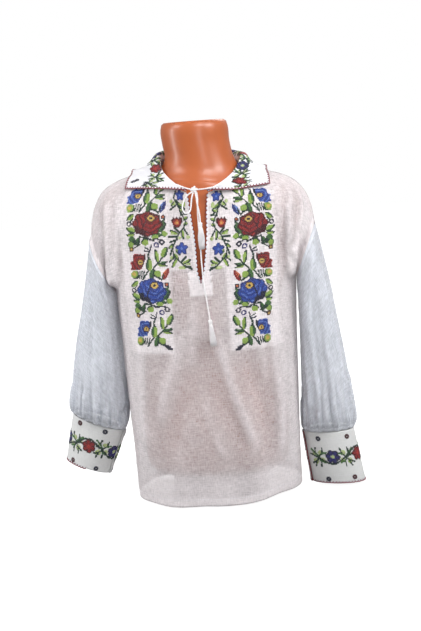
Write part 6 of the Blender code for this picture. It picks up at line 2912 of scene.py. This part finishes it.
    def stitch(self, made: dict[str, list[Piece]]) -> None:
        """Sews the hems, the cuffs, the collar and the armholes, and lays the placket's thread.

        Args:
            made: what goes with each cut piece, added to here.
        """
        white, stitches = SEWING.material(), LaidThread()
        sewn_rows = ((4,), (3,), (2, -3), (2, -3), (1, 5, -6, -2), (1, 5, -6, -2), (-3,))
        for cut, rows in zip(CUT_PIECES, sewn_rows):
            cloth = self.pieces[cut.name]
            runs = [(cloth.points[row], cloth.normals[row]) for row in rows]
            piece = stitches.work(f"{cut.name}_stitches", runs, white, cut.slot_name)
            made.setdefault(cut.name, []).append(piece)
        placket = ((177, 243), (171.7, 251.8), (168.2, 258), (166.9, 265), (165.5, 272), (166, 279))
        runs = [on_map(self.pieces["left_sleeve"], placket)]
        maroon = FLOSSES[Floss.MAROON.number]
        made["left_sleeve"].append(LaidThread(0.75, 0.0).work("placket_edging", runs, maroon, SHEER))

    def build(self, inner: BVHTree) -> None:
        """Makes the whole shirt.

        Args:
            inner: the form's surface.
        """
        self.cut()
        self.drape(inner)
        self.mark_doubled()
        self.sew()


# ---------------------------------------------------------------------------------------------------
# The studio
# ---------------------------------------------------------------------------------------------------
def stand_up(name: str, data: bpy.types.ID, stand: Vector, back: Vector, roll: float = 0.0) -> Piece:
    """Stands a camera or a lamp in the room.

    Args:
        name: its name.
        data: the camera or the lamp.
        stand: where it stands, in metres.
        back: the direction from what it is aimed at to it.
        roll: how far it leans to one side, in degrees.

    Returns:
        The object.
    """
    item = bpy.data.objects.new(name, data)
    turn = back.to_track_quat("Z", "Y").to_matrix().to_4x4()
    item.matrix_world = Matrix.Translation(stand) @ turn @ Matrix.Rotation(math.radians(roll), 4, "Z")
    bpy.context.scene.collection.objects.link(item)
    return item


@dataclass(frozen=True)
class SoftBox:
    """A soft box turned to the shirt's axis, with its power in watts and its spread in degrees."""

    name: str
    place: tuple[float, float, float]
    width: float
    power: float
    aim_height: float = 330.0
    spread: float = 180.0
    height: float | None = None

    def light(self) -> None:
        """Stands the soft box in the room."""
        data = bpy.data.lights.new(self.name, "AREA")
        data.shape = "RECTANGLE"
        data.size, data.size_y = self.width * METRES, (self.height or self.width) * METRES
        data.energy = self.power
        data.spread = math.radians(self.spread)
        place = Vector(self.place)
        stand_up(self.name, data, place * METRES, place - Vector((0, 0, self.aim_height)))


SOFT_BOXES = (
    SoftBox("left_box", (-1800, -900, 1900), 900, 20),
    SoftBox("right_box", (1700, -900, 1750), 900, 30),
    SoftBox("left_strip", (-1530, -468, 640), 200, 8.5, 560, height=960),
    SoftBox("front_strip", (560, -1500, 640), 200, 3.4, 560, height=800),
    SoftBox("back_box", (700, 1800, 1900), 800, 14),
    SoftBox("high_box", (500, -900, 1450), 450, 1.0, 560, 60),
)


@dataclass
class Studio:
    """The camera, the white room and the floor."""

    aim: tuple[float, float, float] = (4.0, 0.0, 305.0)
    stand: tuple[float, float, float] = (231.6, -1885.8, 600.0)
    roll: float = -4.3
    lens: float = 64.485
    sensor: float = 36.0
    room_light: float = 0.35
    floor_size: float = 14.0

    def place_camera(self) -> None:
        """Places the camera and makes it the scene's."""
        data = bpy.data.cameras.new("camera")
        data.sensor_width = self.sensor
        data.lens = self.lens
        stand = Vector(self.stand) * METRES
        scene = bpy.context.scene
        scene.camera = stand_up("camera", data, stand, stand - Vector(self.aim) * METRES, self.roll)
        scene.view_settings.view_transform = "Standard"

    def light_room(self) -> None:
        """Makes the room white to the eye and softly lit."""
        world = bpy.data.worlds.new("white_room")
        world.use_nodes = True
        sheet = NodeSheet(world.node_tree)
        seen = sheet.add("ShaderNodeLightPath").outputs["Is Camera Ray"]
        strength = sheet.scaled(seen, 1.0 - self.room_light, self.room_light)
        sheet.feed(world.node_tree.nodes["Background"], Color=WHITE, Strength=strength)
        bpy.context.scene.world = world
        for box in SOFT_BOXES:
            box.light()

    def lay_floor(self, material: Material) -> None:
        """Lays the pale floor.

        Args:
            material: its finish.
        """
        bpy.ops.mesh.primitive_plane_add(size=self.floor_size, location=(0, 0, 0))
        floor = bpy.context.active_object
        floor.name = "floor"
        floor.data.materials.append(material)
        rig.stage(floor)


def finish_foot() -> None:
    """Gives the form's foot, which is shown as it is in the solids, its finish."""
    foot = bpy.data.objects["form_foot"]
    foot.data.materials.clear()
    foot.data.materials.append(FOOT.material())
    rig.slot(foot, "form_foot")
    log.info("form_foot: shown as the solid")


def write_sizes() -> None:
    """Writes the solids' box and the finished shirt's box."""
    boxes = {"cad": [list(corner) for corner in CAD_BOX], "visual": [list(corner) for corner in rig.bounds()]}
    with open(SIZE_FILE, "w", encoding="utf-8") as file:
        json.dump(boxes, file)


def main() -> None:
    """Builds the shirt on its form, in the studio."""
    logging.basicConfig(level=logging.INFO, format="%(message)s")
    bpy.ops.object.select_all(action="DESELECT")
    studio = Studio()
    studio.place_camera()
    Drawstring().build()
    form = TorsoForm()
    form.build(SHELL.material())
    finish_foot()
    FLOSSES.extend(ThreadFinish.of_floss(floss).material() for floss in Floss)
    shirt = Shirt()
    shirt.build(form.tree())
    made = shirt.edge()
    shirt.stitch(made)
    Embroidery().build(shirt.pieces, made)
    shirt.declare(made)
    studio.light_room()
    studio.lay_floor(FLOOR.material())
    write_sizes()


if __name__ == "__main__":
    main()
